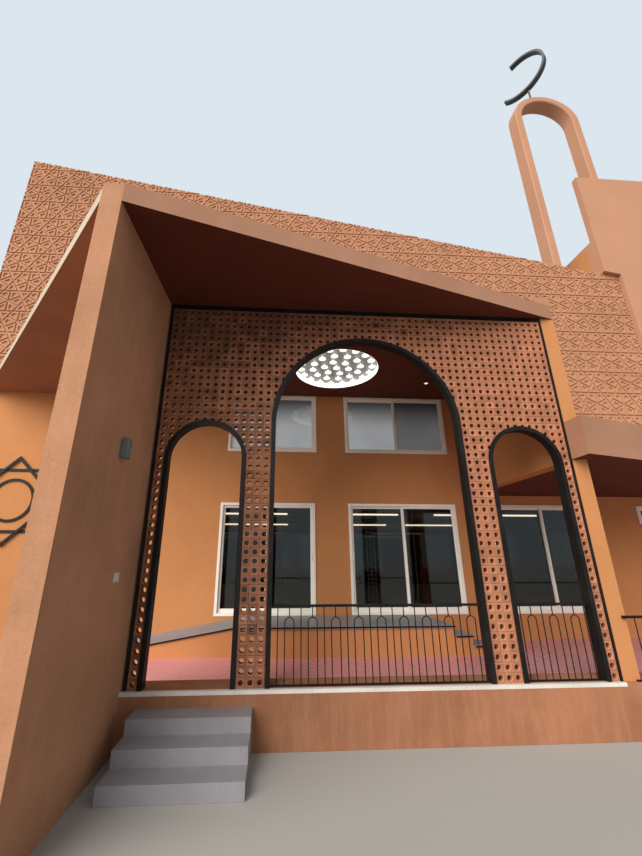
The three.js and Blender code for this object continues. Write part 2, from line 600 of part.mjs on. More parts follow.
function buildMinaret() {
  const { x, y0, y1, outer, inner, spring } = MINARET;
  const roofAt = (at) => reliefTop(at) - ROOF_DROP + GAP;
  const wingRoof = WING_TOP - ROOF_DROP;
  const outline = new THREE.Shape();
  outline.moveTo(x + outer, wingRoof);
  outline.lineTo(x + outer, spring);
  outline.absarc(x, spring, outer, 0, Math.PI, false);
  outline.lineTo(x - outer, roofAt(x - outer));
  outline.lineTo(x - inner, roofAt(x - inner));
  outline.lineTo(x - inner, spring);
  outline.absarc(x, spring, inner, Math.PI, 0, true);
  outline.lineTo(x + inner, wingRoof);
  addPiece('minaret_arch', pushBack(outline, y0, y1), PLASTER);
}

function buildCrescent() {
  const { x, y, z, radius, turn, from, to, width, depth, stem } = CRESCENT;
  const toRadians = THREE.MathUtils.degToRad;
  const outline = new THREE.Shape();
  outline.absarc(0, 0, radius, toRadians(from), toRadians(to), false);
  outline.absarc(0, 0, radius - depth, toRadians(to), toRadians(from), true);
  const ring = new THREE.ExtrudeGeometry(outline, { depth: width, bevelEnabled: false, curveSegments: 40 })
    .translate(0, 0, -width / 2).rotateX(Math.PI / 2);
  ring.rotateZ(toRadians(turn)).translate(x, y, z);
  const stemReach = (y - (MINARET.y0 + MINARET.y1) / 2) / Math.sin(toRadians(-turn));
  const stemX = x + stemReach * Math.cos(toRadians(turn));
  const stemY = y - stemReach * Math.sin(toRadians(-turn));
  const nearest = Math.max(0, Math.abs(stemX - MINARET.x) - stem / 2);
  const foot = MINARET.spring + Math.sqrt(MINARET.outer ** 2 - nearest ** 2) + GAP;
  const stemTop = z - Math.sqrt((radius - depth / 2) ** 2 - stemReach ** 2);
  const post = new THREE.CylinderGeometry(stem / 2, stem / 2, stemTop - foot, 16)
    .rotateX(Math.PI / 2).translate(stemX, stemY, (stemTop + foot) / 2);
  addPiece('crescent', joined([ring, post]), GREY_STEEL);
}

buildPlinth();
buildEntranceSteps();
buildScreen();
buildRailings();
buildFin();
buildCanopies();
buildCeilingLight();
buildRightSide();
buildHallWalls();
buildFloorsAndRoof();
buildHiddenGlass();
buildWindows();
buildPlatform();
buildTower();
buildMinaret();
buildCrescent();

export default building;
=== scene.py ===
"""Neighbourhood mosque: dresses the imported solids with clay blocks, relief panels, railings, window
frames and a round ceiling light, gives every surface its material, and sets a plain pale stage."""

import json
import math

import bpy
import numpy as np
from mathutils import Matrix


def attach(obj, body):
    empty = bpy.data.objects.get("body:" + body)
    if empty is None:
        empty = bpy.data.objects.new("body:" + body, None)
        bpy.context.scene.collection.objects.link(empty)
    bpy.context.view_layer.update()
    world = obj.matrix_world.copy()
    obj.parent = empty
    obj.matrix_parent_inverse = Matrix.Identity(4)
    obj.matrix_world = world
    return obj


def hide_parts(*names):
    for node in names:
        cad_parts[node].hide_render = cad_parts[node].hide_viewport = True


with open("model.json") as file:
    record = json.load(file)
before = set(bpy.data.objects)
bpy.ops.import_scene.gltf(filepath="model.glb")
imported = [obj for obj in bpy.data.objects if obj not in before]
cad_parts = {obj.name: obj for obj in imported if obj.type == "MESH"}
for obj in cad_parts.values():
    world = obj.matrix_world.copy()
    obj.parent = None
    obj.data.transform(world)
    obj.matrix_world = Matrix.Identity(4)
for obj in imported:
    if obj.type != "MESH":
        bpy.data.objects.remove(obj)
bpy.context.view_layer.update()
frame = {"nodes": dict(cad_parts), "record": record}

bl_info = {
    "name": "Neighbourhood mosque",
    "version": (1, 0, 0),
    "blender": (4, 5, 0),
    "location": "3D View > Sidebar > Mosque",
    "description": "Clay block screen, relief wall, railings, windows and lights of a small mosque",
    "category": "Object",
}

# Sizes that the pieces share with the solids, in metres

BLOCK = 0.115
PLINTH_TOP = 0.6
CLEARANCE = 0.0003


def blocks(count):
    """A length counted in clay blocks."""
    return count * BLOCK


def above(count):
    """A height counted in clay blocks from the top of the plinth's masonry."""
    return PLINTH_TOP + count * BLOCK


SCREEN_FOOT = above(0.1)
SCREEN_ROWS = 46
SCREEN_COLUMNS = 53
SCREEN_THICK = 0.1
ARCH_BAR = 0.06
# Middle, half width and springing height of each arch
MAIN_ARCH = (0.0, blocks(12.46), above(29.75))
LEFT_ARCH = (blocks(-20.5), blocks(4.96), above(24.65))
RIGHT_ARCH = (blocks(20.5), blocks(4.96), above(24.65))

MAIN_Y = blocks(30.5)
WALL = 0.23
LEFT_X = blocks(-77.3)
RIGHT_X = blocks(100)
BACK_Y = blocks(118)
RELIEF_RIGHT = blocks(76.4)
RELIEF_TOP = ((LEFT_X, above(112)), (RELIEF_RIGHT, above(83)))
CANOPY_TOP = above(47.6)
PILLAR_RIGHT = blocks(28.9)
TERRACE_TOP = above(25.2) + 0.2
PLINTH_FRONT = blocks(-0.5)
FIN_RIGHT = blocks(-27)
PORCH_FLOOR = above(-1.43)
PLATFORM = (blocks(-17), blocks(16.5), blocks(18.9), above(2.86))  # left, right, front, top
RAMP_FOOT, RAMP_FRONT = blocks(-42.7), blocks(20)
TREAD, STEPS_BACK = blocks(2.9), blocks(23.5)

CEILING = above(46.7)
LIGHT = (blocks(-0.9), blocks(18.2), blocks(7.8))  # middle in x and y, radius
LIGHT_RECESS = 0.14
DOWNLIGHT = (blocks(18.1), blocks(22.5))

LOWER_SILL, LOWER_HEAD = above(2.9), above(23.3)
UPPER_SILL, UPPER_HEAD = above(33.9), above(46.6)
# Left, right, sill, head and number of sashes
FRONT_WINDOWS = {
    "lower_left_window": (blocks(-22.75), blocks(-4.1), LOWER_SILL, LOWER_HEAD, 2),
    "lower_centre_window": (blocks(2.6), blocks(24.65), LOWER_SILL, LOWER_HEAD, 2),
    "lower_right_window": (blocks(32), blocks(53.6), LOWER_SILL, LOWER_HEAD, 2),
    "high_right_window": (blocks(63.8), blocks(73), above(19.7), LOWER_HEAD, 1),
    "upper_left_window": (blocks(-22.1), blocks(-3.7), UPPER_SILL, UPPER_HEAD, 2),
    "upper_centre_window": (blocks(2.4), blocks(24.4), UPPER_SILL, UPPER_HEAD, 2),
}
HIDDEN_WIDTH = blocks(14)
HIDDEN_SILL = LOWER_SILL + blocks(5)

# Middle, front, back, outer and inner radius, springing height
MINARET = (blocks(72.7), blocks(32.8), blocks(36.8), blocks(10.7), blocks(8.4), above(147.1))
ROOF_DROP = 0.3
WING_TOP = above(94.7)


def relief_top(x):
    """Height of the relief wall at x: a straight line between its two ends."""
    (x0, z0), (x1, z1) = RELIEF_TOP
    return z0 + (z1 - z0) * (x - x0) / (x1 - x0)


def linear(hex_colour):
    """sRGB hex to linear RGBA: c / 12.92 below 0.04045, else ((c + 0.055) / 1.055) ** 2.4."""
    values = [int(hex_colour[i:i + 2], 16) / 255 for i in (1, 3, 5)]
    straight = [v / 12.92 if v <= 0.04045 else ((v + 0.055) / 1.055) ** 2.4 for v in values]
    return (*straight, 1.0)


def shade(colour, factor):
    """A colour made lighter or darker by one factor."""
    return tuple(min(1.0, c * factor) for c in colour[:3]) + (1.0,)


def colour_property(name, hex_colour, description):
    """A colour in the panel, from its sRGB hex value."""
    return bpy.props.FloatVectorProperty(
        name=name, description=description, subtype="COLOR", size=4, min=0.0, max=1.0,
        default=linear(hex_colour))


def length_property(name, millimetres, description):
    """A length in the panel, from millimetres to metres."""
    return bpy.props.FloatProperty(
        name=name, description=description, unit="LENGTH", subtype="DISTANCE", min=0.0005,
        default=millimetres / 1000)


class MosqueSizes(bpy.types.PropertyGroup):
    """Sizes of the pieces that aren't in the solids."""

    hole: length_property("Hole", 67, "Diameter of the round hole in each clay block")
    joint: length_property("Joint", 7, "Width of the recessed joint between two clay blocks")
    joint_depth: length_property("Joint depth", 7, "How far the joints lie behind the block faces")
    ridge: length_property("Ridge height", 28, "How far the relief ridges stand out of the wall")
    star_pitch: length_property("Star pitch", 739.45, "Distance between two stars of a row")
    star_rise: length_property("Star rise", 624.45, "Distance between two rows of stars")
    bar: length_property("Bar", 14, "Diameter of the railings' upright bars")
    rail: length_property("Rail", 31, "Height of the railings' top rail")
    bar_module: length_property("Bar module", 296.7, "Distance between two long bars of a railing")
    frame_face: length_property("Frame face", 58, "Width of a window frame's face")
    sash_face: length_property("Sash face", 60, "Width of a window sash's face")
    tread: length_property("Tread slab", 30, "Thickness of the stone on the ramp and the steps")
    disc: length_property("Light disc", 150, "Diameter of each glowing disc of the ceiling light")


class MosqueColours(bpy.types.PropertyGroup):
    """Colours of the finishes."""

    render: colour_property("Render", "#C18251", "Pigmented cement render of the walls")
    floated: colour_property("Floated render", "#B68260", "Rough render of the fin")
    fascia: colour_property("Fascia", "#BB886A", "Smooth render of canopy edges and tower")
    # The soffit colour stands both for the paint and for painted shade under the canopies and the
    # terrace
    soffit: colour_property("Soffit", "#5C2919", "Paint on the undersides of the canopies")
    # Lighter than the other soffit colour: painted light from the left
    side_soffit: colour_property("Left soffit", "#9A6245", "Paint under the left canopy")
    plinth: colour_property("Plinth", "#9B6749", "Stained render of the plinth")
    relief: colour_property("Relief", "#B88464", "Pressed relief panels")
    clay: colour_property("Clay", "#9A654A", "Fired clay blocks")
    mortar: colour_property("Mortar", "#52301F", "Joints between the clay blocks")
    steel: colour_property("Black steel", "#141312", "Painted arch frames and railings")
    frames: colour_property("Window frames", "#F4ECDF", "Powder-coated window frames")
    glass: colour_property("Glass", "#B4BEBC", "Tint of the window glass")
    film: colour_property("Glass film", "#9DA2A5", "Frosted film behind the upper panes")
    floor: colour_property("Floor", "#D9939A", "Coating of the porch floor")
    stone: colour_property("Grey stone", "#8F8B8D", "Platform top, ramp and steps")
    strip: colour_property("White strip", "#D4CDC3", "Strip of stone under the screen")
    concrete: colour_property("Concrete", "#8E8981", "Floors and roof")
    backdrop: colour_property("Backdrop", "#DCE6EE", "Sky behind the building")
    ground: colour_property("Ground", "#A8A39C", "Stage floor")


# Mesh helpers: each part is (points, list of face arrays)


def ring_faces(rings, around, closed, copies=1):
    """Quads that join each ring to the next. Point k of ring r of copy c has the index
    (c * rings + r) * around + k, and the last ring joins the first where closed is true."""
    ring = np.arange(rings if closed else rings - 1)[:, None]
    step = np.arange(around)[None, :]
    after, beside = (ring + 1) % rings, (step + 1) % around
    quads = np.stack([ring * around + step, ring * around + beside, after * around + beside,
                      after * around + step], -1).reshape(-1, 4)
    shift = np.arange(copies)[:, None, None] * rings * around
    return (quads[None] + shift).reshape(-1, 4)


def cap_faces(rings, around, copies=1):
    """The flat ends of open tubes: the first ring and the last ring turned round."""
    start = np.arange(copies)[:, None] * rings * around
    first = start + np.arange(around)[None, ::-1]
    last = start + (rings - 1) * around + np.arange(around)[None, :]
    return np.concatenate([first, last])


def volume(points, faces):
    """Signed volume: a sixth of the triple products of each face's triangle fan."""
    total = 0.0
    for group in faces:
        corner = points[group]
        for k in range(1, group.shape[1] - 1):
            total += np.einsum("ij,ij->", corner[:, 0], np.cross(corner[:, k], corner[:, k + 1]))
    return total / 6


def outward(points, faces):
    """The same part with its faces pointing out of it."""
    if volume(points - points.mean(0), faces) < 0:
        faces = [group[:, ::-1] for group in faces]
    return points, faces


def tubes(points, closed):
    """A part from an array (copies, rings, around, 3), with end caps unless the rings close up."""
    copies, rings, around, _ = points.shape
    faces = [ring_faces(rings, around, closed, copies)]
    if not closed:
        faces.append(cap_faces(rings, around, copies))
    return outward(points.reshape(-1, 3), faces)


def together(parts):
    """Several parts as one, with their point numbers shifted."""
    points, faces, start = [], [], 0
    for part_points, part_faces in parts:
        points.append(part_points)
        faces += [group + start for group in part_faces]
        start += len(part_points)
    return np.concatenate(points), faces


def make_mesh(name, part):
    """A mesh from a part's points and its groups of faces with equally many corners."""
    points, faces = part
    mesh = bpy.data.meshes.new(name)
    corners = np.concatenate([group.ravel() for group in faces]).astype(np.int32)
    sizes = np.concatenate([np.full(len(group), group.shape[1]) for group in faces])
    starts = np.concatenate([[0], np.cumsum(sizes)[:-1]]).astype(np.int32)
    mesh.vertices.add(len(points))
    mesh.vertices.foreach_set("co", np.asarray(points, np.float32).ravel())
    mesh.loops.add(len(corners))
    mesh.loops.foreach_set("vertex_index", corners)
    mesh.polygons.add(len(sizes))
    mesh.polygons.foreach_set("loop_start", starts)
    mesh.update(calc_edges=True)
    mesh.validate()
    return mesh


def add_mesh(name, mesh, slot, stands_for=(), smooth=None, material=None):
    """Puts a mesh into the scene as a piece that rides on the building. It has its slot's finish
    unless another one is named, and smooth is the angle in degrees up to which edges are smooth."""
    made = bpy.data.objects.new(name, mesh)
    bpy.context.scene.collection.objects.link(made)
    mesh.materials.clear()
    mesh.materials.append(bpy.data.materials[material or SLOT_MATERIALS[slot]])
    if smooth is None:
        mesh.shade_flat()
    else:
        mesh.shade_smooth()
        mesh.set_sharp_from_angle(angle=math.radians(smooth))
    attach(made, "root")
    if stands_for:
        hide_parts(*stands_for)


def add_piece(name, part, slot, stands_for=(), smooth=None, material=None):
    """Makes a part's mesh and puts it into the scene as a piece."""
    add_mesh(name, make_mesh(name, part), slot, stands_for, smooth, material)


def cut_mesh(mesh, cutter, operation):
    """The mesh with a second one subtracted from it or intersected with it."""
    body = bpy.data.objects.new("cut_body", mesh)
    tool = bpy.data.objects.new("cut_tool", cutter)
    for made in (body, tool):
        bpy.context.scene.collection.objects.link(made)
    modifier = body.modifiers.new("cut", "BOOLEAN")
    modifier.operation = operation
    modifier.solver = "MANIFOLD"
    modifier.object = tool
    graph = bpy.context.evaluated_depsgraph_get()
    result = bpy.data.meshes.new_from_object(body.evaluated_get(graph))
    result.name = mesh.name
    for made in (body, tool):
        bpy.data.objects.remove(made)
    return result


def box_part(x0, x1, y0, y1, z0, z1, edge=0.0):
    """A box. Its long edges along Z and its ends are chamfered by edge: rings of eight points at
    heights z0, z0 + edge, z1 - edge and z1, the end rings drawn in by edge."""
    def ring(inset, z):
        a, b, c, d = x0 + inset, x1 - inset, y0 + inset, y1 - inset
        e = edge
        return [(a + e, c, z), (b - e, c, z), (b, c + e, z), (b, d - e, z),
                (b - e, d, z), (a + e, d, z), (a, d - e, z), (a, c + e, z)]
    if edge:
        rings = [ring(edge, z0), ring(0, z0 + edge), ring(0, z1 - edge), ring(edge, z1)]
    else:
        rings = [[(x, y, z) for x, y in ((x0, y0), (x1, y0), (x1, y1), (x0, y1))] for z in (z0, z1)]
    return tubes(np.array([rings], float), False)


def swept(path, profile, across, closed=False):
    """A profile carried along a path. At a point with tangent t the profile's first number runs
    along n = across x t, its second along across. At a corner n is stretched to keep the width."""
    path, profile, across = np.array(path, float), np.array(profile, float), np.array(across, float)
    step = np.roll(path, -1, 0) - path
    step /= np.maximum(np.linalg.norm(step, axis=1), 1e-12)[:, None]
    before = np.roll(step, 1, 0)
    if not closed:
        step[-1] = before[-1]
        before[0] = step[0]
    side_after, side_before = np.cross(across, step), np.cross(across, before)
    side = side_after + side_before
    side /= (1 + np.einsum("ij,ij->i", side_after, side_before))[:, None]
    points = (path[:, None] + side[:, None] * profile[None, :, :1] + across * profile[None, :, 1:])
    return tubes(points[None], closed)


def round_profile(radius, sides):
    """A regular polygon: radius * (cos a, sin a) at equal angles."""
    angle = (np.arange(sides) + 0.5) * 2 * np.pi / sides
    return radius * np.stack([np.cos(angle), np.sin(angle)], -1)


def upright_bars(x, y, low, high, radius, sides=8):
    """Round bars along Z: (x + r cos a, y + r sin a) at the heights low and high."""
    circle = round_profile(radius, sides)
    x, low, high = np.broadcast_arrays(np.asarray(x, float), low, high)
    points = np.empty((len(x), 2, sides, 3))
    points[..., 0] = x[:, None, None] + circle[:, 0]
    points[..., 1] = y + circle[:, 1]
    points[:, 0, :, 2] = low[:, None]
    points[:, 1, :, 2] = high[:, None]
    return tubes(points, False)


def turned(profile, centre, steps=32):
    """A closed profile of (radius, height) turned about a vertical axis: r (cos a, sin a), z."""
    profile = np.array(profile, float)
    angle = np.arange(steps) * 2 * np.pi / steps
    points = np.empty((1, steps, len(profile), 3))
    points[0, :, :, 0] = centre[0] + np.cos(angle)[:, None] * profile[:, 0]
    points[0, :, :, 1] = centre[1] + np.sin(angle)[:, None] * profile[:, 0]
    points[0, :, :, 2] = profile[:, 1]
    return tubes(points, True)


def along_y(outline, y0, y1):
    """An outline in x and z carried from y0 to y1."""
    outline = np.array(outline, float)
    points = np.empty((1, 2, len(outline), 3))
    points[..., 0], points[..., 2] = outline[:, 0], outline[:, 1]
    points[0, 0, :, 1], points[0, 1, :, 1] = y0, y1
    return tubes(points, False)


# Materials


def add(tree, kind, inputs=None, **fields):
    """Adds a shader node, sets its fields, and sets or links its inputs."""
    made = tree.nodes.new("ShaderNode" + kind)
    for field, value in fields.items():
        setattr(made, field, value)
    for socket, value in (inputs or {}).items():
        if isinstance(value, bpy.types.NodeSocket):
            tree.links.new(value, made.inputs[socket])
        else:
            made.inputs[socket].default_value = value
    return made


def new_material(name):
    """An empty material and its object coordinates."""
    made = bpy.data.materials.new(name)
    made.use_nodes = True
    made.node_tree.nodes.clear()
    return made.node_tree, add(made.node_tree, "TexCoord").outputs["Object"]


def end_material(tree, colour, roughness, inputs=None):
    """Ends a material's nodes with the surface shader and the output."""
    surface = add(tree, "BsdfPrincipled", {"Base Color": colour, "Roughness": roughness,
                                           **(inputs or {})})
    add(tree, "OutputMaterial", {"Surface": surface.outputs[0]})


def per_metre(millimetres):
    """How many times a pattern of that size repeats in a metre."""
    return 1000 / millimetres


def clouded(tree, colour, noise, low, high):
    """A colour multiplied by a noise whose middle part is stretched to go from low to high."""
    factor = add(tree, "MapRange", {"Value": noise.outputs["Fac"], "From Min": 0.3,
                                    "From Max": 0.7, "To Min": low, "To Max": high})
    product = add(tree, "Mix", {0: 1.0, 6: colour, 7: factor.outputs[0]}, data_type="RGBA",
                  blend_type="MULTIPLY")
    return product.outputs[2]


def cement_render(name, colour, mottle, grain_mm, depth_mm, streak=0.0):
    """Cement render coloured through with iron oxide and floated by hand: dead matt, cloudy where
    it dried unevenly, with a sandy grain drawn a little coarser than sand so that it shows."""
    tree, coord = new_material(name)
    clouds = add(tree, "TexNoise", {"Vector": coord, "Scale": per_metre(1400), "Detail": 5.0,
                                    "Roughness": 0.6})
    stretched = add(tree, "Mapping", {"Vector": coord, "Scale": (1.0, 1.0, 0.12)})
    runs = add(tree, "TexNoise", {"Vector": stretched.outputs[0], "Scale": per_metre(90),
                                  "Detail": 5.0, "Roughness": 0.7})
    grain = add(tree, "TexNoise", {"Vector": coord, "Scale": per_metre(grain_mm), "Detail": 3.0,
                                   "Roughness": 0.65})
    cloudy = add(tree, "MapRange", {"Value": clouds.outputs["Fac"], "From Min": 0.35,
                                    "From Max": 0.65})
    base = add(tree, "Mix", {0: cloudy.outputs[0], 6: shade(colour, 1 - mottle),
                             7: shade(colour, 1 + mottle)}, data_type="RGBA")
    streaky = add(tree, "MapRange", {"Value": runs.outputs["Fac"], "From Min": 0.45,
                                     "From Max": 0.75, "To Max": streak})
    washed = add(tree, "Mix", {0: streaky.outputs[0], 6: base.outputs[2],
                               7: linear("#DFB99C")}, data_type="RGBA")
    bump = add(tree, "Bump", {"Strength": 0.6, "Distance": depth_mm / 1000,
                              "Height": grain.outputs["Fac"]})
    end_material(tree, clouded(tree, washed.outputs[2], grain, 0.93, 1.07), 0.92,
                 {"Specular IOR Level": 0.3, "Normal": bump.outputs[0]})


def canopy_paint_and_shade(name, paint, fascia, top):
    """Concrete canopy with rendered edges and a dark colour on the underside that stands both for its
    emulsion paint and for painted shade: the dark colour shows where the face looks down, bare
    concrete where it looks up, the render everywhere else."""
    tree, coord = new_material(name)
    facing = add(tree, "SeparateXYZ", {0: add(tree, "NewGeometry").outputs["Normal"]})
    # Painted shade: faces that look down take the dark paint colour
    down = add(tree, "Math", {0: facing.outputs[2], 1: -0.5}, operation="LESS_THAN")
    up = add(tree, "Math", {0: facing.outputs[2], 1: 0.5}, operation="GREATER_THAN")
    clouds = add(tree, "TexNoise", {"Vector": coord, "Scale": per_metre(900), "Detail": 4.0})
    roller = add(tree, "TexNoise", {"Vector": coord, "Scale": per_metre(14), "Detail": 2.0})
    painted = add(tree, "Mix", {0: down.outputs[0], 6: fascia, 7: paint}, data_type="RGBA")
    colour = add(tree, "Mix", {0: up.outputs[0], 6: painted.outputs[2], 7: top}, data_type="RGBA")
    bump = add(tree, "Bump", {"Strength": 0.4, "Distance": 0.001, "Height": roller.outputs["Fac"]})
    end_material(tree, clouded(tree, colour.outputs[2], clouds, 0.9, 1.1), 0.8,
                 {"Specular IOR Level": 0.3, "Normal": bump.outputs[0]})


def fired_clay(name, clay, mortar):
    """Extruded and fired clay: a dull, slightly sandy face whose colour changes from block to block
    with its place in the kiln and with painted shade towards the left and the top, rims that are
    lighter as a painted highlight, sandy joints in shadow, and the dark mortar colour carried into
    the holes as painted shade."""
    tree, coord = new_material(name)
    tone, joint, edge = (add(tree, "Attribute", attribute_name=what)
                         for what in ("tone", "joint", "edge"))
    clouds = add(tree, "TexNoise", {"Vector": coord, "Scale": per_metre(60), "Detail": 4.0,
                                    "Roughness": 0.7})
    sand = add(tree, "TexNoise", {"Vector": coord, "Scale": per_metre(6), "Detail": 2.0})
    # The tone runs from 0.3 to 1.35 times the clay colour; its low end carries the painted shade laid
    # on the blocks in make_screen
    block = add(tree, "Mix", {0: tone.outputs["Fac"], 6: shade(clay, 0.3), 7: shade(clay, 1.35)},
                data_type="RGBA")
    # Painted highlight: the rims marked by the edge attribute are made up to 2.3 times lighter
    pale = add(tree, "MapRange", {"Value": edge.outputs["Fac"], "To Min": 0.86, "To Max": 2.3})
    face = add(tree, "Mix", {0: 1.0, 6: clouded(tree, block.outputs[2], clouds, 0.88, 1.12),
                             7: pale.outputs[0]}, data_type="RGBA", blend_type="MULTIPLY")
    # The joint attribute also covers the hole walls and the backs of the blocks, so the dark mortar
    # colour there is painted shade
    whole = add(tree, "Mix", {0: joint.outputs["Fac"], 6: face.outputs[2], 7: mortar},
                data_type="RGBA")
    bump = add(tree, "Bump", {"Strength": 0.5, "Distance": 0.0008, "Height": sand.outputs["Fac"]})
    end_material(tree, whole.outputs[2], 0.8,
                 {"Specular IOR Level": 0.35, "Normal": bump.outputs[0]})


def coated_metal(name, colour, roughness, orange_peel_mm, metallic=0.0, wear=0.0, specular=0.5):
    """Paint or powder on metal: an even colour and a faint orange peel that breaks up the gloss."""
    tree, coord = new_material(name)
    peel = add(tree, "TexNoise", {"Vector": coord, "Scale": per_metre(orange_peel_mm),
                                  "Detail": 2.0})
    dust = add(tree, "TexNoise", {"Vector": coord, "Scale": per_metre(300), "Detail": 5.0})
    dusty = add(tree, "MapRange", {"Value": dust.outputs["Fac"], "From Min": 0.45,
                                   "From Max": 0.8, "To Max": wear})
    tone = add(tree, "Mix", {0: dusty.outputs[0], 6: colour, 7: linear("#8A7A6C")},
               data_type="RGBA")
    gloss = add(tree, "MapRange", {"Value": dust.outputs["Fac"], "To Min": roughness - 0.06,
                                   "To Max": roughness + 0.1})
    bump = add(tree, "Bump", {"Strength": 0.25, "Distance": 0.0004, "Height": peel.outputs["Fac"]})
    end_material(tree, tone.outputs[2], gloss.outputs[0],
                 {"Metallic": metallic, "Specular IOR Level": specular,
                  "Normal": bump.outputs[0]})


def float_glass(name, tint):
    """Float glass over a dark room: clear, with a trace of dust that blurs its mirror image."""
    tree, coord = new_material(name)
    dust = add(tree, "TexNoise", {"Vector": coord, "Scale": per_metre(900), "Detail": 3.0})
    haze = add(tree, "MapRange", {"Value": dust.outputs["Fac"], "To Min": 0.01, "To Max": 0.06})
    end_material(tree, tint, haze.outputs[0], {"IOR": 1.5, "Transmission Weight": 1.0})


def filmed_glass(name, film, glow):
    """Float glass with a frosted film behind it and a lit room beyond: milky grey, with a painted
    glow in place of the room's light and a painted reflection of the dark soffit that darkens the
    pane towards its head, while the front of the pane still mirrors sharply."""
    tree, coord = new_material(name)
    height = add(tree, "SeparateXYZ", {0: coord}).outputs[2]
    cloud = add(tree, "TexNoise", {"Vector": coord, "Scale": per_metre(700), "Detail": 3.0})
    # Painted glow: the pane gives off light of its own, in place of the lit room behind the film
    uneven = add(tree, "MapRange", {"Value": cloud.outputs["Fac"], "From Min": 0.3,
                                    "From Max": 0.7, "To Min": 0.85 * glow, "To Max": 1.1 * glow})
    # Painted reflection of the dark soffit: the glow and the colour fall off towards the head of the
    # pane
    painted_top_shade = add(tree, "MapRange", {"Value": height, "From Min": UPPER_HEAD,
                                  "From Max": UPPER_HEAD - 0.9}, interpolation_type="SMOOTHSTEP")
    lit = add(tree, "Math", {0: uneven.outputs[0], 1: painted_top_shade.outputs[0]}, operation="MULTIPLY")
    tone = add(tree, "Mix", {0: painted_top_shade.outputs[0], 6: shade(film, 0.3), 7: film}, data_type="RGBA")
    end_material(tree, tone.outputs[2], 0.4,
                 {"IOR": 1.5, "Coat Weight": 1.0, "Coat Roughness": 0.02, "Emission Color": film,
                  "Emission Strength": lit.outputs[0]})


def coated_floor(name, colour):
    """Self-levelling epoxy floor coating: glossy, with dusty patches that dull it."""
    tree, coord = new_material(name)
    dust = add(tree, "TexNoise", {"Vector": coord, "Scale": per_metre(500), "Detail": 6.0,
                                  "Roughness": 0.6})
    gloss = add(tree, "MapRange", {"Value": dust.outputs["Fac"], "From Min": 0.35,
                                   "From Max": 0.65, "To Min": 0.16, "To Max": 0.38})
    dusty = add(tree, "MapRange", {"Value": dust.outputs["Fac"], "From Min": 0.4,
                                   "From Max": 0.75, "To Max": 0.35})
    tone = add(tree, "Mix", {0: dusty.outputs[0], 6: colour, 7: linear("#C99A92")},
               data_type="RGBA")
    end_material(tree, tone.outputs[2], gloss.outputs[0])


def honed_stone(name, colour, fleck_mm, roughness):
    """Honed granite-like stone: fine dark and light flecks under a dull sheen."""
    tree, coord = new_material(name)
    flecks = add(tree, "TexVoronoi", {"Vector": coord, "Scale": per_metre(fleck_mm)})
    patches = add(tree, "TexNoise", {"Vector": coord, "Scale": per_metre(450), "Detail": 5.0})
    fleck = add(tree, "MapRange", {"Value": flecks.outputs["Distance"], "From Max": 0.8,
                                   "To Min": 0.85, "To Max": 1.12})
    tone = add(tree, "Mix", {0: 1.0, 6: clouded(tree, colour, patches, 0.88, 1.1),
                             7: fleck.outputs[0]}, data_type="RGBA", blend_type="MULTIPLY")
    end_material(tree, tone.outputs[2], roughness)


def cast_concrete(name, colour):
    """Bare concrete: grey, blotchy from the formwork, with small pits."""
    tree, coord = new_material(name)
    blotches = add(tree, "TexNoise", {"Vector": coord, "Scale": per_metre(800), "Detail": 6.0,
                                      "Roughness": 0.65})
    pits = add(tree, "TexVoronoi", {"Vector": coord, "Scale": per_metre(40)})
    pit = add(tree, "MapRange", {"Value": pits.outputs["Distance"], "From Max": 0.18})
    bump = add(tree, "Bump", {"Strength": 0.5, "Distance": 0.002, "Height": pit.outputs[0]})
    end_material(tree, clouded(tree, colour, blotches, 0.78, 1.12), 0.9,
                 {"Normal": bump.outputs[0]})


def lit_opal(name, strength, glow_colour, body="#F4F3EE"):
    """Opal acrylic with lamps behind it: an even glow."""
    tree, coord = new_material(name)
    spread = add(tree, "TexNoise", {"Vector": coord, "Scale": per_metre(90), "Detail": 1.0})
    glow = add(tree, "MapRange", {"Value": spread.outputs["Fac"], "To Min": strength * 0.92,
                                  "To Max": strength * 1.08})
    end_material(tree, linear(body), 0.35,
                 {"Emission Color": linear(glow_colour), "Emission Strength": glow.outputs[0]})


def moulded_plastic(name, colour):
    """Injection-moulded ABS: smooth, with a faint moulding texture and a soft gloss."""
    tree, coord = new_material(name)
    texture = add(tree, "TexNoise", {"Vector": coord, "Scale": per_metre(3), "Detail": 1.0})
    bump = add(tree, "Bump", {"Strength": 0.1, "Distance": 0.0002,
                              "Height": texture.outputs["Fac"]})
    tone = add(tree, "Mix", {0: texture.outputs["Fac"], 6: shade(colour, 0.98),
                             7: shade(colour, 1.02)}, data_type="RGBA")
    end_material(tree, tone.outputs[2], 0.4, {"Normal": bump.outputs[0]})


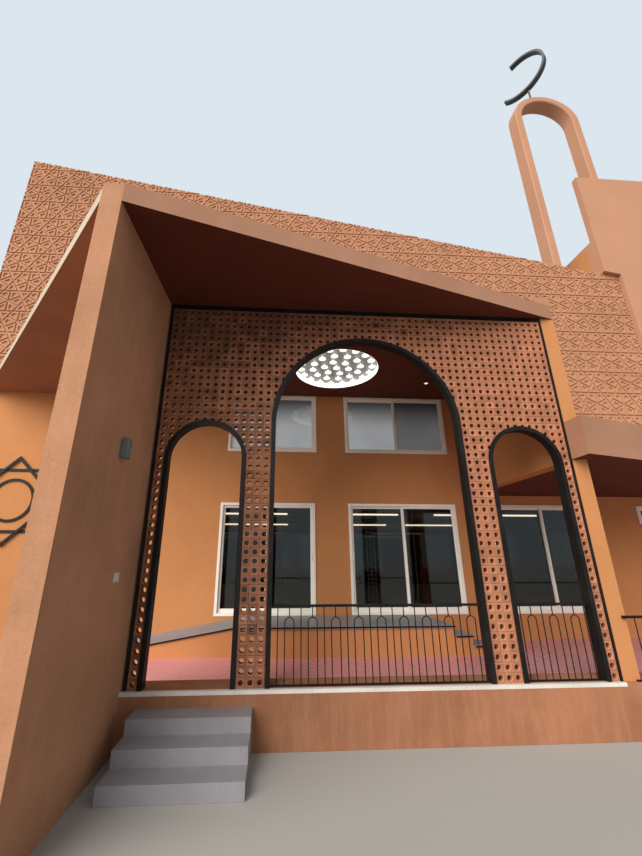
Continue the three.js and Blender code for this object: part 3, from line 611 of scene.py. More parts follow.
def make_materials():
    """Makes every finish of the building from the colours in the panel."""
    c = bpy.context.scene.mosque_colours
    cement_render("pigmented_cement_render", c.render, 0.07, 16, 1.2)
    cement_render("hand_floated_cement_render", c.floated, 0.16, 22, 3.0, streak=0.1)
    cement_render("smooth_cement_render", c.fascia, 0.04, 12, 0.5)
    cement_render("pressed_cement_relief", c.relief, 0.08, 14, 0.8)
    cement_render("weathered_cement_render", c.plinth, 0.2, 18, 1.5, streak=0.12)
    # Painted shade: the canopy and terrace edges take the fascia render darkened by a fifth
    edge = shade(c.fascia, 0.8)
    canopy_paint_and_shade("soffit_paint_and_painted_shade", c.soffit, edge, c.concrete)
    # Painted light: under the left canopy the soffit colour is lighter and the edge pale beige, where
    # the light from the left falls on them
    canopy_paint_and_shade("side_soffit_paint_and_painted_light", c.side_soffit, linear("#BDAE98"), c.concrete)
    fired_clay("fired_clay", c.clay, c.mortar)
    coated_metal("satin_black_painted_steel", c.steel, 0.5, 5, wear=0.05, specular=0.2)
    coated_metal("white_powder_coated_aluminium", c.frames, 0.4, 4, wear=0.1)
    coated_metal("grey_powder_coated_aluminium", linear("#6B7174"), 0.38, 4)
    coated_metal("dull_galvanised_steel", linear("#4C4C4C"), 0.42, 6, metallic=0.85)
    float_glass("float_glass", c.glass)
    float_glass("solar_control_glass", linear("#2E3431"))
    filmed_glass("frosted_film_glass", c.film, 0.62)
    # A darker copy of the filmed glass, with less glow, for the right pane of the upper centre window
    filmed_glass("darker_film_glass", shade(c.film, 0.47), 0.45)
    coated_floor("red_epoxy_floor_coating", c.floor)
    honed_stone("honed_grey_stone", c.stone, 9, 0.5)
    honed_stone("honed_white_stone", c.strip, 11, 0.5)
    cast_concrete("cast_concrete", c.concrete)
    lit_opal("lit_opal_acrylic", 1.15, "#FBFBF6")
    lit_opal("lit_warm_acrylic", 2.5, "#FFE2C0")
    lit_opal("lit_opal_tray", 0.08, "#FBFBF6", "#77756F")
    moulded_plastic("moulded_abs", linear("#DAD6CC"))


SLOT_MATERIALS = {
    "plaster": "pigmented_cement_render",
    "soffit": "soffit_paint_and_painted_shade",
    "relief": "pressed_cement_relief",
    "clay": "fired_clay",
    "black_steel": "satin_black_painted_steel",
    "white_frame": "white_powder_coated_aluminium",
    "clear_glass": "float_glass",
    "floor_paint": "red_epoxy_floor_coating",
    "grey_stone": "honed_grey_stone",
    "white_stone": "honed_white_stone",
    "concrete": "cast_concrete",
    "lamp_metal": "grey_powder_coated_aluminium",
    "white_plastic": "moulded_abs",
    "light_disc": "lit_opal_acrylic",
    "grey_steel": "dull_galvanised_steel",
}
NODE_MATERIALS = {
    "fin_wall": "hand_floated_cement_render",
    "tower_wall": "smooth_cement_render",
    "right_wing_wall": "smooth_cement_render",
    "minaret_arch": "smooth_cement_render",
    "porch_plinth": "weathered_cement_render",
    "terrace_slab": "soffit_paint_and_painted_shade",
    "terrace_parapet": "soffit_paint_and_painted_shade",
    "left_canopy": "side_soffit_paint_and_painted_light",
    "lower_side_glass": "solar_control_glass",
    "upper_side_glass": "solar_control_glass",
}


def dress_nodes():
    """Gives each CAD node the finish of its slot, or its own where the real one differs."""
    slots = {row["node"]: row["material_slot"] for row in frame["record"]["subparts"]}
    for name, node in frame["nodes"].items():
        material = NODE_MATERIALS.get(name, SLOT_MATERIALS[slots[name]])
        node.data.materials.clear()
        node.data.materials.append(bpy.data.materials[material])


# Brick screen


def arch_prism(arch, front, back, steps=64):
    """An arch opening as a solid: straight sides up to the springing and half a circle on top."""
    x, radius, spring = arch
    radius += CLEARANCE
    angle = np.linspace(0, np.pi, steps + 1)
    below = SCREEN_FOOT - 0.1
    curve = np.stack([x + radius * np.cos(angle), spring + radius * np.sin(angle)], -1)
    outline = np.concatenate([[[x + radius, below]], curve, [[x - radius, below]]])
    return along_y(outline, front, back)


def arch_reach(x, z, arch):
    """How far a point lies outside an arch opening; negative inside it."""
    centre, radius, spring = arch
    top_shade_mask = np.maximum(z - spring, 0)
    return np.hypot(x - centre, top_shade_mask) - radius


HOLE_CHAMFER = 0.0025
# Mean clay tone, the painted shade taken off it towards the left and the top, and the random spread
# from block to block
BATCH_TONE, LEFT_PAINTED_SHADE, TOP_PAINTED_SHADE, TONE_SPREAD = 0.61, 0.32, 0.3, 0.1


def block_part(x, z, sizes):
    """One clay block for each (x, z). Sixteen points run round it at a = 22.5 k degrees. A ring is
    a circle, r (cos a, sin a), or a square, h (cos a, sin a) / max(|cos a|, |sin a|), and the rings
    go from the hole's rim over the face, down into the joint and through the block to its back."""
    around = 16
    angle = np.arange(around) * 2 * np.pi / around
    circle = np.stack([np.cos(angle), np.sin(angle)], -1)
    square = circle / np.abs(circle).max(1)[:, None]
    half, face = BLOCK / 2 - CLEARANCE / 6, BLOCK / 2 - sizes.joint / 2
    hole, rim, back = sizes.hole / 2, HOLE_CHAMFER, SCREEN_THICK
    rings = [(circle, hole, rim), (circle, hole + rim, 0), (circle, hole + 4 * rim, 0),
             (square, face, 0), (square, half, sizes.joint_depth), (square, half, back),
             (circle, hole, back)]
    points = np.empty((len(x), len(rings), around, 3))
    for index, (shape, reach, y) in enumerate(rings):
        points[:, index, :, 0] = x[:, None] + reach * shape[:, 0]
        points[:, index, :, 1] = y
        points[:, index, :, 2] = z[:, None] + reach * shape[:, 1]
    # Mortar colour in the joints, and painted shade in the holes: the hole walls take the mortar
    # colour, fading from the back to a fifth at the rim, and the backs take it whole
    mortar_and_hole_shade_rings = np.array([0.2, 0, 0, 0, 1, 1, 1], np.float32)
    # Painted highlight on the hole's rim and on the face's outer edge
    rim_highlight_rings = np.array([1, 1, 0, 0.7, 0, 0, 0], np.float32)
    return tubes(points, True), np.repeat(mortar_and_hole_shade_rings, around), np.repeat(rim_highlight_rings, around)


def set_values(mesh, name, domain, values):
    """Keeps a number for each point or face of a mesh, for its material."""
    attribute = mesh.attributes.new(name, "FLOAT", domain)
    attribute.data.foreach_set("value", values.astype(np.float32))


def make_screen():
    """Lays the blocks on their grid, cuts those that cross an arch and leaves out those inside one.
    Painted shade darkens the blocks towards the left and at the top, where the fin and the canopy
    shade the screen."""
    sizes = bpy.context.scene.mosque_sizes
    column = np.arange(SCREEN_COLUMNS) - (SCREEN_COLUMNS - 1) / 2
    row = np.arange(SCREEN_ROWS) + 0.5
    x, z = (grid.ravel() for grid in np.meshgrid(column * BLOCK, SCREEN_FOOT + row * BLOCK))
    random = np.random.default_rng(7)
    # Painted shade: the tone falls towards the left, where the fin shades the screen, and towards the
    # top under the canopy, less so on the right
    left_shade_mask = np.clip((blocks(1) - x) / blocks(15), 0, 1)
    top_shade_mask = np.clip((z - above(34)) / blocks(12), 0, 1)
    top_shade_mask *= np.clip((blocks(20) - x) / blocks(20), 0, 1)
    tone_with_painted_shade = BATCH_TONE - LEFT_PAINTED_SHADE * left_shade_mask - TOP_PAINTED_SHADE * top_shade_mask
    tone = np.clip(random.normal(tone_with_painted_shade, TONE_SPREAD), 0, 1)
    arches = (LEFT_ARCH, MAIN_ARCH, RIGHT_ARCH)
    half = BLOCK / 2
    corner_reach = np.stack([arch_reach(x + dx, z + dz, arch) for arch in arches
                             for dx in (-half, half) for dz in (-half, half)]).reshape(3, 4, -1)
    inside = (corner_reach < 0).all(1).any(0)
    crossing = (corner_reach < 0.003).any(1).any(0) & ~inside
    whole = ~inside & ~crossing
    middle = blocks(13)
    groups = {
        "screen_left_blocks": whole & (x < -middle),
        "screen_middle_blocks": whole & (np.abs(x) <= middle),
        "screen_right_blocks": whole & (x > middle),
        "screen_arch_blocks": crossing,
    }
    for name, chosen in groups.items():
        part, joint, edge = block_part(x[chosen], z[chosen], sizes)
        mesh = make_mesh(name, part)
        set_values(mesh, "joint", "POINT", np.tile(joint, chosen.sum()))
        set_values(mesh, "edge", "POINT", np.tile(edge, chosen.sum()))
        # The tone carries both the random clay tone and the painted shade
        set_values(mesh, "tone", "FACE", np.repeat(tone[chosen], len(joint)))
        if name == "screen_arch_blocks":
            cutter = make_mesh("cutter", together([
                arch_prism(arch, -0.05, SCREEN_THICK + 0.05) for arch in arches]))
            mesh = cut_mesh(mesh, cutter, "DIFFERENCE")
        add_mesh(name, mesh, "clay", ["brick_screen"], smooth=40)


# Relief wall


def drawn_in(outline, inset):
    """A convex outline moved inwards by inset: each corner p goes to p + inset (n1 + n2) /
    (1 + n1 . n2), where n1 and n2 are the inward normals of the two edges that meet there."""
    edge = np.roll(outline, -1, 0) - outline
    edge /= np.linalg.norm(edge, axis=1)[:, None]
    after = np.stack([-edge[:, 1], edge[:, 0]], -1)
    before = np.roll(after, 1, 0)
    share = 1 + np.einsum("ij,ij->i", after, before)
    return outline + inset * (after + before) / share[:, None]


def star_tiles():
    """The tiles round one star centre, for stars sqrt(12) apart in a row: six kites that meet at
    the centre, and the two triangles on the right between this star and the next."""
    edge = math.sqrt(3.0)
    inner = edge * math.sqrt(3.0) / 2
    tiles = []
    for turn in np.radians(np.arange(6) * 60):
        kite = [(0.0, 0.0)]
        for bearing, reach in ((-30, inner), (0, edge), (30, inner)):
            a = turn + math.radians(bearing)
            kite.append((reach * math.cos(a), reach * math.sin(a)))
        tiles.append(np.array(kite))
    for side in (1, -1):
        corners = [(edge, 0.0), (1.5 * edge, side * inner), (0.5 * edge, side * inner)]
        tiles.append(np.array(corners[::side]))
    return tiles, 2 * edge, 2 * inner


FIRST_STAR = (blocks(61.37), above(46.55))
STAR_ROWS, STAR_COLUMNS = np.arange(-4, 14), np.arange(-24, 5)
STAR_REACH_X, STAR_REACH_Z = 0.9, 0.8
BARS_IN_RISE = 5.43
RIDGE_SECTION = np.array([0.14, 0.19, 0.53, 0.62])
RELIEF_MARGIN = 0.006


def star_centres(sizes):
    """Centres of the stars that touch the wall: every second row is shifted by half a pitch."""
    j, i = (grid.ravel() for grid in np.meshgrid(STAR_ROWS, STAR_COLUMNS, indexing="ij"))
    x = FIRST_STAR[0] + (i + 0.5 * (j % 2)) * sizes.star_pitch
    z = FIRST_STAR[1] + j * sizes.star_rise
    kept = (z < relief_top(x) + STAR_REACH_Z) & (z > TERRACE_TOP - STAR_REACH_Z)
    kept &= (x > LEFT_X - STAR_REACH_X) & (x < RELIEF_RIGHT + STAR_REACH_X)
    kept &= (z > CANOPY_TOP - STAR_REACH_Z) | (x > PILLAR_RIGHT - STAR_REACH_X)
    return np.stack([x, z], -1)[kept]


def relief_panel():
    """The part of the wall that shows above the canopy and the terrace, as a solid."""
    (x0, z0), (x1, z1) = RELIEF_TOP
    x0, x1, step = x0 + RELIEF_MARGIN, x1 - RELIEF_MARGIN, PILLAR_RIGHT + RELIEF_MARGIN
    canopy, terrace = CANOPY_TOP + RELIEF_MARGIN, TERRACE_TOP + RELIEF_MARGIN
    outline = [(x0, canopy), (step, canopy), (step, terrace), (x1, terrace),
               (x1, z1 - RELIEF_MARGIN), (x0, z0 - RELIEF_MARGIN)]
    return along_y(outline, MAIN_Y - 0.1, MAIN_Y + 0.1)


def make_relief():
    """Covers the wall with a star lattice. Every tile of it has a ridge round its edge, with a
    bevelled section, so that two neighbouring ridges leave a narrow groove between them. The ridges
    start a little behind the wall's face."""
    sizes = bpy.context.scene.mosque_sizes
    tiles, pitch, rise = star_tiles()
    scale = np.array([sizes.star_pitch / pitch, sizes.star_rise / rise])
    insets = RIDGE_SECTION * sizes.star_rise / BARS_IN_RISE / scale.min()
    front, root = MAIN_Y - sizes.ridge, MAIN_Y + 0.004
    depths = np.array([root, front, front, root])
    centre = star_centres(sizes)
    parts = []
    for tile in tiles:
        rings = np.stack([drawn_in(tile, inset) * scale for inset in insets])
        points = np.empty((len(centre), len(insets), len(tile), 3))
        points[..., 0] = centre[:, None, None, 0] + rings[None, :, :, 0]
        points[..., 1] = depths[:, None]
        points[..., 2] = centre[:, None, None, 1] + rings[None, :, :, 1]
        parts.append(tubes(points, True))
    mesh = cut_mesh(make_mesh("relief_ridges", together(parts)),
                    make_mesh("panel", relief_panel()), "INTERSECT")
    add_mesh("relief_ridges", mesh, "relief")


# Railings


RAIL_HALF_DEPTH = 0.015
FOOT_RAIL_HALF = (0.009, 0.014)
PAIR_HALF, BOW_DROP, BAR_MARGIN = blocks(0.5), blocks(1.3), 0.025
RAILING_TOP, MAIN_BOW_X = above(8.0), blocks(0.38)
BAY_RAILING = (blocks(28.3), blocks(99.6), PLINTH_FRONT + 0.03, above(6.65), blocks(31))


def flat_profile(half_across, half_deep):
    """A rectangle about its middle."""
    a, b = half_across, half_deep
    return [(-a, -b), (a, -b), (a, b), (-a, b)]


def railing_part(x0, x1, y, top, bow_x, sizes):
    """Pairs of bars that a small round arch joins, a module apart and one of them centred on
    bow_x: p = (x + r cos a, z + r sin a) for a from 0 to half a turn. A single bar stands between
    two pairs."""
    radius, half_rail, module = sizes.bar / 2, sizes.rail / 2, sizes.bar_module
    crown = top - BOW_DROP
    spring = crown - PAIR_HALF
    low = SCREEN_FOOT + 0.01
    first, last = math.ceil((x0 - bow_x) / module - 0.5), math.ceil((x1 - bow_x) / module)
    middles = bow_x + np.arange(first, last + 1) * module
    singles = middles + module / 2
    singles = singles[(singles > x0 + BAR_MARGIN) & (singles < x1 - BAR_MARGIN)]
    pair_margin = PAIR_HALF + BAR_MARGIN
    middles = middles[(middles > x0 + pair_margin) & (middles < x1 - pair_margin)]
    angle = np.linspace(0, np.pi, 9)
    circle = round_profile(radius, 6)
    bows = np.empty((len(middles), len(angle), len(circle), 3))
    reach = PAIR_HALF + circle[None, :, 0]
    bows[..., 0] = middles[:, None, None] + reach * np.cos(angle)[:, None]
    bows[..., 1] = y + circle[:, 1]
    bows[..., 2] = spring + reach * np.sin(angle)[:, None]
    rail_z = top - half_rail
    rail, foot = flat_profile(half_rail, RAIL_HALF_DEPTH), flat_profile(*FOOT_RAIL_HALF)
    return together([
        upright_bars(singles, y, low, rail_z, radius),
        upright_bars(middles - PAIR_HALF, y, low, spring, radius),
        upright_bars(middles + PAIR_HALF, y, low, spring, radius),
        upright_bars(middles, y, crown - 0.004, rail_z, radius),
        tubes(bows, False),
        swept([(x0, y, rail_z), (x1, y, rail_z)], rail, (0, 1, 0)),
        swept([(x0, y, low), (x1, y, low)], foot, (0, 1, 0)),
    ])


def make_railings():
    """One railing in each of two arches, and one along the front of the right bay."""
    sizes = bpy.context.scene.mosque_sizes
    middle = SCREEN_THICK / 2
    spans = []
    for name, arch, bow_x in (("main_arch_railing", MAIN_ARCH, MAIN_BOW_X),
                              ("right_arch_railing", RIGHT_ARCH, RIGHT_ARCH[0])):
        reach = arch[1] - ARCH_BAR - CLEARANCE
        spans.append((name, arch[0] - reach, arch[0] + reach, middle, RAILING_TOP, bow_x))
    spans.append(("right_bay_railing", *BAY_RAILING))
    for name, x0, x1, y, top, bow_x in spans:
        part = railing_part(x0, x1, y, top, bow_x, sizes)
        add_piece(name + "_bars", part, "black_steel", [name], smooth=40)


# Ramp and steps beside the platform


NOSING, NOSE, PLATFORM_LIP = 0.005, 0.02, 0.03
STRIP_UPPER, STRIP_LOWER = 0.003, 0.001


def nosing(x0, x1, face, z0, z1):
    """A thin strip on a slab's front face."""
    return box_part(x0, x1, face - NOSING, face - CLEARANCE, z0, z1)


def make_ramp_and_steps():
    """Rendered masonry with a slab of stone on each slope or tread, and a dark nosing strip along
    the front edge of each slab. At x the ramp's top is low + slope (x - RAMP_FOOT)."""
    sizes = bpy.context.scene.mosque_sizes
    thick, nose, lip = sizes.tread, NOSE, PLATFORM_LIP
    upper, lower = STRIP_UPPER, sizes.tread - STRIP_LOWER
    x0, x1, front, top = PLATFORM
    back = MAIN_Y - CLEARANCE
    low = PORCH_FLOOR
    slope = (top - low) / (x0 - RAMP_FOOT)
    slab_run = thick / slope
    wedge = [(RAMP_FOOT + slab_run, low), (x0, low), (x0, top - thick)]
    rise = (top - low) / 3
    right = x1 + 2 * TREAD
    masonry = [box_part(x1, x1 + TREAD, front, STEPS_BACK, low, low + 2 * rise - thick),
               box_part(x1 + TREAD, right, front, STEPS_BACK, low, low + rise - thick)]
    add_piece("ramp_masonry", along_y(wedge, RAMP_FRONT, back), "plaster", ["platform_ramp"])
    add_piece("step_masonry", together(masonry), "plaster", ["platform_steps"])
    slab = [(RAMP_FOOT, low + CLEARANCE), (RAMP_FOOT + slab_run, low + CLEARANCE),
            (x0, top - thick), (x0, top)]
    add_piece("ramp_stone", along_y(slab, RAMP_FRONT - nose, back), "grey_stone",
              ["platform_ramp"])
    treads, strips = [], []
    for index, level in ((0, low + 2 * rise), (1, low + rise)):
        left = x1 + index * TREAD
        treads.append(box_part(left + CLEARANCE, left + TREAD + nose, front - nose, STEPS_BACK,
                               level - thick, level, 0.003))
        strips.append(nosing(left + lip + CLEARANCE, left + TREAD + nose, front - nose,
                             level - lower, level - upper))
    add_piece("step_stone", together(treads), "grey_stone", ["platform_steps"])
    strips.append(nosing(x0, x1 + lip, front - lip, top - lower, top - upper))
    gap = 0.001
    foot = RAMP_FOOT + gap / slope
    run = [(foot + upper / slope, low + gap), (foot + lower / slope, low + gap),
           (x0, top - lower), (x0, top - upper)]
    strips.append(along_y(run, RAMP_FRONT - nose - NOSING, RAMP_FRONT - nose - CLEARANCE))
    add_piece("edge_strips", together(strips), "black_steel")


# Windows


def wall_axes(origin, along, inward):
    """Turns points (u, depth, height) on a wall into points of the building."""
    origin, along, inward = (np.array(v, float) for v in (origin, along, inward))
    axes = np.stack([along, inward, (0, 0, 1)])
    return lambda points: origin + points @ axes


def frame_part(u0, u1, z0, z1, profile, sill_factor=1.0):
    """A profile of (inset, depth) carried round a rectangle: at each corner it moves inwards by
    inset along both sides. The bottom member's inset is multiplied by sill_factor."""
    profile = np.array(profile, float)
    corner = np.array([(u0, z0), (u1, z0), (u1, z1), (u0, z1)])
    toward = np.array([(1, sill_factor), (-1, sill_factor), (-1, -1), (1, -1)], float)
    points = np.empty((1, 4, len(profile), 3))
    points[0, :, :, 0] = corner[:, None, 0] + toward[:, None, 0] * profile[:, 0]
    points[0, :, :, 1] = profile[:, 1]
    points[0, :, :, 2] = corner[:, None, 1] + toward[:, None, 1] * profile[:, 0]
    return tubes(points, True)


FRAME_FRONT, FRAME_BACK, FRAME_CHAMFER, SASH_SEAT = -0.02, 0.09, 0.003, 0.008
SASH_DEPTH, REAR_SASH, FRONT_SASH = 0.034, 0.036, -0.002
PANE_FRONT, PANE_BACK, PANE_SEAT = 0.014, 0.02, 0.006
TALL_WINDOW, TALL_SILL = 1.8, 1.5
HANDLE_HALF = (0.012, 0.075)
HIDDEN_RECESS = 0.06


def window_parts(u0, u1, z0, z1, sashes, sizes, handle=None):
    """Frame, sashes and panes of one window, in (u, depth, height) with depth 0 on the wall's face.
    The front sash slides before the rear one, and they overlap behind the middle post. A tall
    window's sashes have a higher bottom rail."""
    face, stile = sizes.frame_face, sizes.sash_face
    chamfered = FRAME_FRONT + FRAME_CHAMFER
    outer = [(0, chamfered), (FRAME_CHAMFER, FRAME_FRONT), (face - FRAME_CHAMFER, FRAME_FRONT),
             (face, chamfered), (face, FRAME_BACK), (0, FRAME_BACK)]
    frames = [frame_part(u0, u1, z0, z1, outer)]
    panes = []
    seat = face - SASH_SEAT
    inner0, inner1 = u0 + seat, u1 - seat
    low, high = z0 + seat, z1 - seat
    middle = (u0 + u1) / 2
    spans = [(inner0, inner1, 0.0)]
    if sashes == 2:
        spans = [(inner0, middle + stile / 2, REAR_SASH), (middle - stile / 2, inner1, FRONT_SASH)]
    sill = TALL_SILL if z1 - z0 > TALL_WINDOW else 1.0
    pane = stile - PANE_SEAT
    for left, right, depth in spans:
        back = depth + SASH_DEPTH
        section = [(0, depth), (stile - 0.014, depth), (stile, depth + 0.01),
                   (stile, back - 0.008), (stile - 0.01, back), (0, back)]
        frames.append(frame_part(left, right, low, high, section, sill))
        panes.append(box_part(left + pane, right - pane, depth + PANE_FRONT, depth + PANE_BACK,
                              low + stile * sill - PANE_SEAT, high - pane))
    if handle:
        at = inner0 + stile / 2 if handle == "left" else inner1 - stile / 2
        half, reach = HANDLE_HALF
        mid = (z0 + z1) / 2
        frames.append(box_part(at - half, at + half, -0.03, 0.04, mid - reach, mid + reach, 0.004))
    return together(frames), panes


PANES = {"upper_left_window": ("frosted_film_glass", "frosted_film_glass"),
         "upper_centre_window": ("frosted_film_glass", "darker_film_glass")}
HANDLES = {"lower_left_window": "right", "lower_centre_window": "left",
           "lower_right_window": "right"}


def make_front_windows():
    """Frame and panes of each window in the wall behind the porch."""
    sizes = bpy.context.scene.mosque_sizes
    place = wall_axes((0, MAIN_Y, 0), (1, 0, 0), (0, 1, 0))
    for name, (x0, x1, z0, z1, sashes) in FRONT_WINDOWS.items():
        frames, panes = window_parts(x0, x1, z0, z1, sashes, sizes, HANDLES.get(name))
        frames = outward(place(frames[0]), frames[1])
        add_piece(name + "_frame", frames, "white_frame", [name], smooth=30)
        glass = PANES.get(name, ("float_glass",) * sashes)
        for index, (points, faces) in enumerate(panes):
            add_piece(f"{name}_pane_{index + 1}", outward(place(points), faces), "clear_glass",
                      [name + "_glass"], material=glass[index])


def make_hidden_windows():
    """Frames in the openings of the left, right and back walls, two storeys of them on each."""
    sizes = bpy.context.scene.mosque_sizes
    front, back = MAIN_Y + WALL, BACK_Y - WALL
    walls = {
        "left_side_frames": ((LEFT_X, 0, 0), (0, -1, 0), (1, 0, 0), -back, -front, 3),
        "right_side_frames": ((RIGHT_X, 0, 0), (0, 1, 0), (-1, 0, 0), front, back, 3),
        "back_frames": ((0, BACK_Y, 0), (-1, 0, 0), (0, -1, 0), WALL - RIGHT_X, -LEFT_X - WALL, 6),
    }
    half = HIDDEN_WIDTH / 2
    for name, (origin, along, inward, u0, u1, count) in walls.items():
        place = wall_axes(origin, along, inward)
        bay = (u1 - u0) / count
        parts = []
        for index in range(count):
            middle = u0 + (index + 0.5) * bay
            for z0, z1 in ((HIDDEN_SILL, LOWER_HEAD), (UPPER_SILL, UPPER_HEAD)):
                frames, _ = window_parts(middle - half, middle + half, z0, z1, 2, sizes)
                parts.append((frames[0] + (0, HIDDEN_RECESS, 0), frames[1]))
        points, faces = together(parts)
        add_piece(name, outward(place(points), faces), "white_frame", smooth=30)


# Lights, lamp and switches


# Number of discs, reach as a share of the light's radius, and turn of each ring
DISC_RINGS = ((1, 0.0, 0.0), (6, 0.3, 0.1), (12, 0.58, 0.3), (18, 0.86, 0.2))
LIGHT_WALL, TRAY_THICK, DISC_DROP, STEM = 0.004, 0.02, 0.095, 0.014


def make_ceiling_light():
    """A round recess with a lit white wall, a grey tray and rings of glowing discs on stems."""
    sizes = bpy.context.scene.mosque_sizes
    x, y, radius = LIGHT
    top = CEILING + LIGHT_RECESS - CLEARANCE
    edge = radius - 0.002
    inner = edge - LIGHT_WALL
    wall = [(edge, CEILING), (edge, top), (inner, top), (inner, CEILING)]
    add_piece("light_wall", turned(wall, (x, y), 96), "light_disc", ["ceiling_light"], smooth=40)
    axis, tray_edge, tray_low = 0.001, inner - 0.001, top - TRAY_THICK
    tray = [(tray_edge, top), (axis, top), (axis, tray_low), (tray_edge, tray_low)]
    add_piece("light_tray", turned(tray, (x, y), 96), "light_disc", ["ceiling_light"], smooth=40,
              material="lit_opal_tray")
    disc = sizes.disc / 2
    low = top - DISC_DROP
    section = [(axis, low), (disc * 0.8, low + 0.002), (disc, low + 0.01), (disc, low + 0.02),
               (STEM + 0.002, low + 0.024), (STEM, tray_low), (axis, tray_low)]
    parts = []
    for count, reach, phase in DISC_RINGS:
        for index in range(count):
            a = phase + index * 2 * math.pi / count
            centre = (x + math.cos(a) * reach * radius, y + math.sin(a) * reach * radius)
            parts.append(turned(section, centre, 16))
    add_piece("light_discs", together(parts), "light_disc", ["ceiling_light"], smooth=50)


TUBE_HEIGHT, TUBE_RADIUS = above(24), 0.025
STEM_TOP, STEM_RADIUS = 3.66, 0.008
# Depth of each row, and left and right end of its tubes, in blocks
TUBE_ROWS = ((57, ((-58, -9), (-1, 21), (31, 60))), (91, ((-54, -8), (12, 27), (34, 60))))


def make_strip_lights():
    """Two rows of lit tubes that hang in the hall on stems and show through the lower windows."""
    tube, stem = round_profile(TUBE_RADIUS, 10), round_profile(STEM_RADIUS, 6)
    stem_foot = TUBE_HEIGHT + TUBE_RADIUS - 0.003
    tubes_lit, stems = [], []
    for depth, runs in TUBE_ROWS:
        y = blocks(depth)
        for left, right in runs:
            x0, x1 = blocks(left), blocks(right)
            tubes_lit.append(swept([(x0, y, TUBE_HEIGHT), (x1, y, TUBE_HEIGHT)], tube, (0, 1, 0)))
            for x in np.linspace(x0 + 0.3, x1 - 0.3, 4):
                stems.append(swept([(x, y, stem_foot), (x, y, STEM_TOP)], stem, (0, 1, 0)))
    add_piece("hall_strip_lights", together(tubes_lit), "light_disc", smooth=60,
              material="lit_warm_acrylic")
    add_piece("hall_strip_stems", together(stems), "black_steel", smooth=60)


# Radius and drop below the ceiling
BEZEL = ((0.036, 0), (0.055, 0), (0.055, 0.003), (0.048, 0.008), (0.038, 0.009))
LENS = ((0.001, 0), (0.0355, 0), (0.0355, 0.007), (0.02, 0.004), (0.001, 0.003))


def make_downlight():
    """A small recessed spot: a bezel that swells below the ceiling round a hollow lit lens."""
    for name, profile, slot in (("downlight_bezel", BEZEL, "white_plastic"),
                                ("downlight_lens", LENS, "light_disc")):
        hung = [(radius, CEILING - drop) for radius, drop in profile]
        add_piece(name, turned(hung, DOWNLIGHT, 32), slot, ["downlight"], smooth=50)


LAMP_Y = blocks(-8.8)
LAMP_FOOT, LAMP_HEAD = above(22.2), above(24.2)
# Near and far face, half width, inset at foot and head, chamfer
LAMP_PLATE = (0.0, 0.02, 0.045, blocks(0.15), 0.003)
LAMP_BODY = (0.0205, 0.09, 0.055, 0.0, 0.006)
SWITCHES = (blocks(-6.1), blocks(-4.9), above(10.7), above(11.6))
KEY_SIDE, KEY_RIM, KEY_GAP = 0.016, 0.014, 0.002


def on_fin(depth0, depth1, y0, y1, z0, z1, edge):
    """A box that stands on the fin's right face from depth0 to depth1."""
    return box_part(FIN_RIGHT + depth0, FIN_RIGHT + depth1, y0, y1, z0, z1, edge)


def make_fittings():
    """The up-and-down lamp on the fin, a body on a smaller back plate, and the switch plate with
    two keys. All have their edges taken off."""
    lamp = [on_fin(near, far, LAMP_Y - half, LAMP_Y + half, LAMP_FOOT + inset, LAMP_HEAD - inset,
                   edge) for near, far, half, inset, edge in (LAMP_PLATE, LAMP_BODY)]
    add_piece("wall_lamp_body", together(lamp), "lamp_metal", ["wall_lamp"])
    y0, y1, z0, z1 = SWITCHES
    middle = (y0 + y1) / 2
    switches = [on_fin(0, 0.007, y0, y1, z0, z1, 0.002)]
    for left, right in ((y0 + KEY_SIDE, middle - KEY_GAP), (middle + KEY_GAP, y1 - KEY_SIDE)):
        switches.append(on_fin(0.0072, 0.011, left, right, z0 + KEY_RIM, z1 - KEY_RIM, 0.001))
    add_piece("switch_plate_keys", together(switches), "white_plastic", ["switch_plate"],
              smooth=30)


# Minaret arch


ARCH_CHAMFER = 0.03


def make_minaret():
    """The tall arch with its edges chamfered, so that its section has eight sides: two legs and a
    half circle, (x + r cos a, z + r sin a). One leg stands on the flat roof, one on the slope."""
    x, y0, y1, outer, inner, spring = MINARET
    soft = ARCH_CHAMFER
    angle = np.linspace(0, np.pi, 65)
    radii = [(outer, y0 + soft), (outer, y1 - soft), (outer - soft, y1), (inner + soft, y1),
             (inner, y1 - soft), (inner, y0 + soft), (inner + soft, y0), (outer - soft, y0)]
    points = np.empty((1, len(angle) + 2, len(radii), 3))
    for k, (radius, y) in enumerate(radii):
        points[0, 1:-1, k, 0] = x + radius * np.cos(angle)
        points[0, 1:-1, k, 2] = spring + radius * np.sin(angle)
        points[0, 0, k] = (x + radius, 0, WING_TOP - ROOF_DROP)
        points[0, -1, k] = (x - radius, 0, relief_top(x - radius) - ROOF_DROP + CLEARANCE)
        points[0, :, k, 1] = y
    add_piece("minaret_arch_render", tubes(points, False), "plaster", ["minaret_arch"], smooth=35,
              material="smooth_cement_render")


# Wall ornament


STAR_X, STAR_Z = blocks(-62.5), above(23.4)
STAR_REACH, RING_REACH = 0.95, 0.45
STAR_BAR_HALF = (0.03, 0.012)


def ring_of_bar(radius, corners, turn, y):
    """A flat bar bent to a regular polygon, whose corners are radius (cos a, sin a) away from the
    middle in x and z. The first one is at the angle turn."""
    a = turn + np.arange(corners) * 2 * np.pi / corners
    x, z = STAR_X + radius * np.cos(a), STAR_Z + radius * np.sin(a)
    path = np.stack([x, np.full(corners, y), z], -1)
    return swept(path, flat_profile(*STAR_BAR_HALF), (0, 1, 0), closed=True)


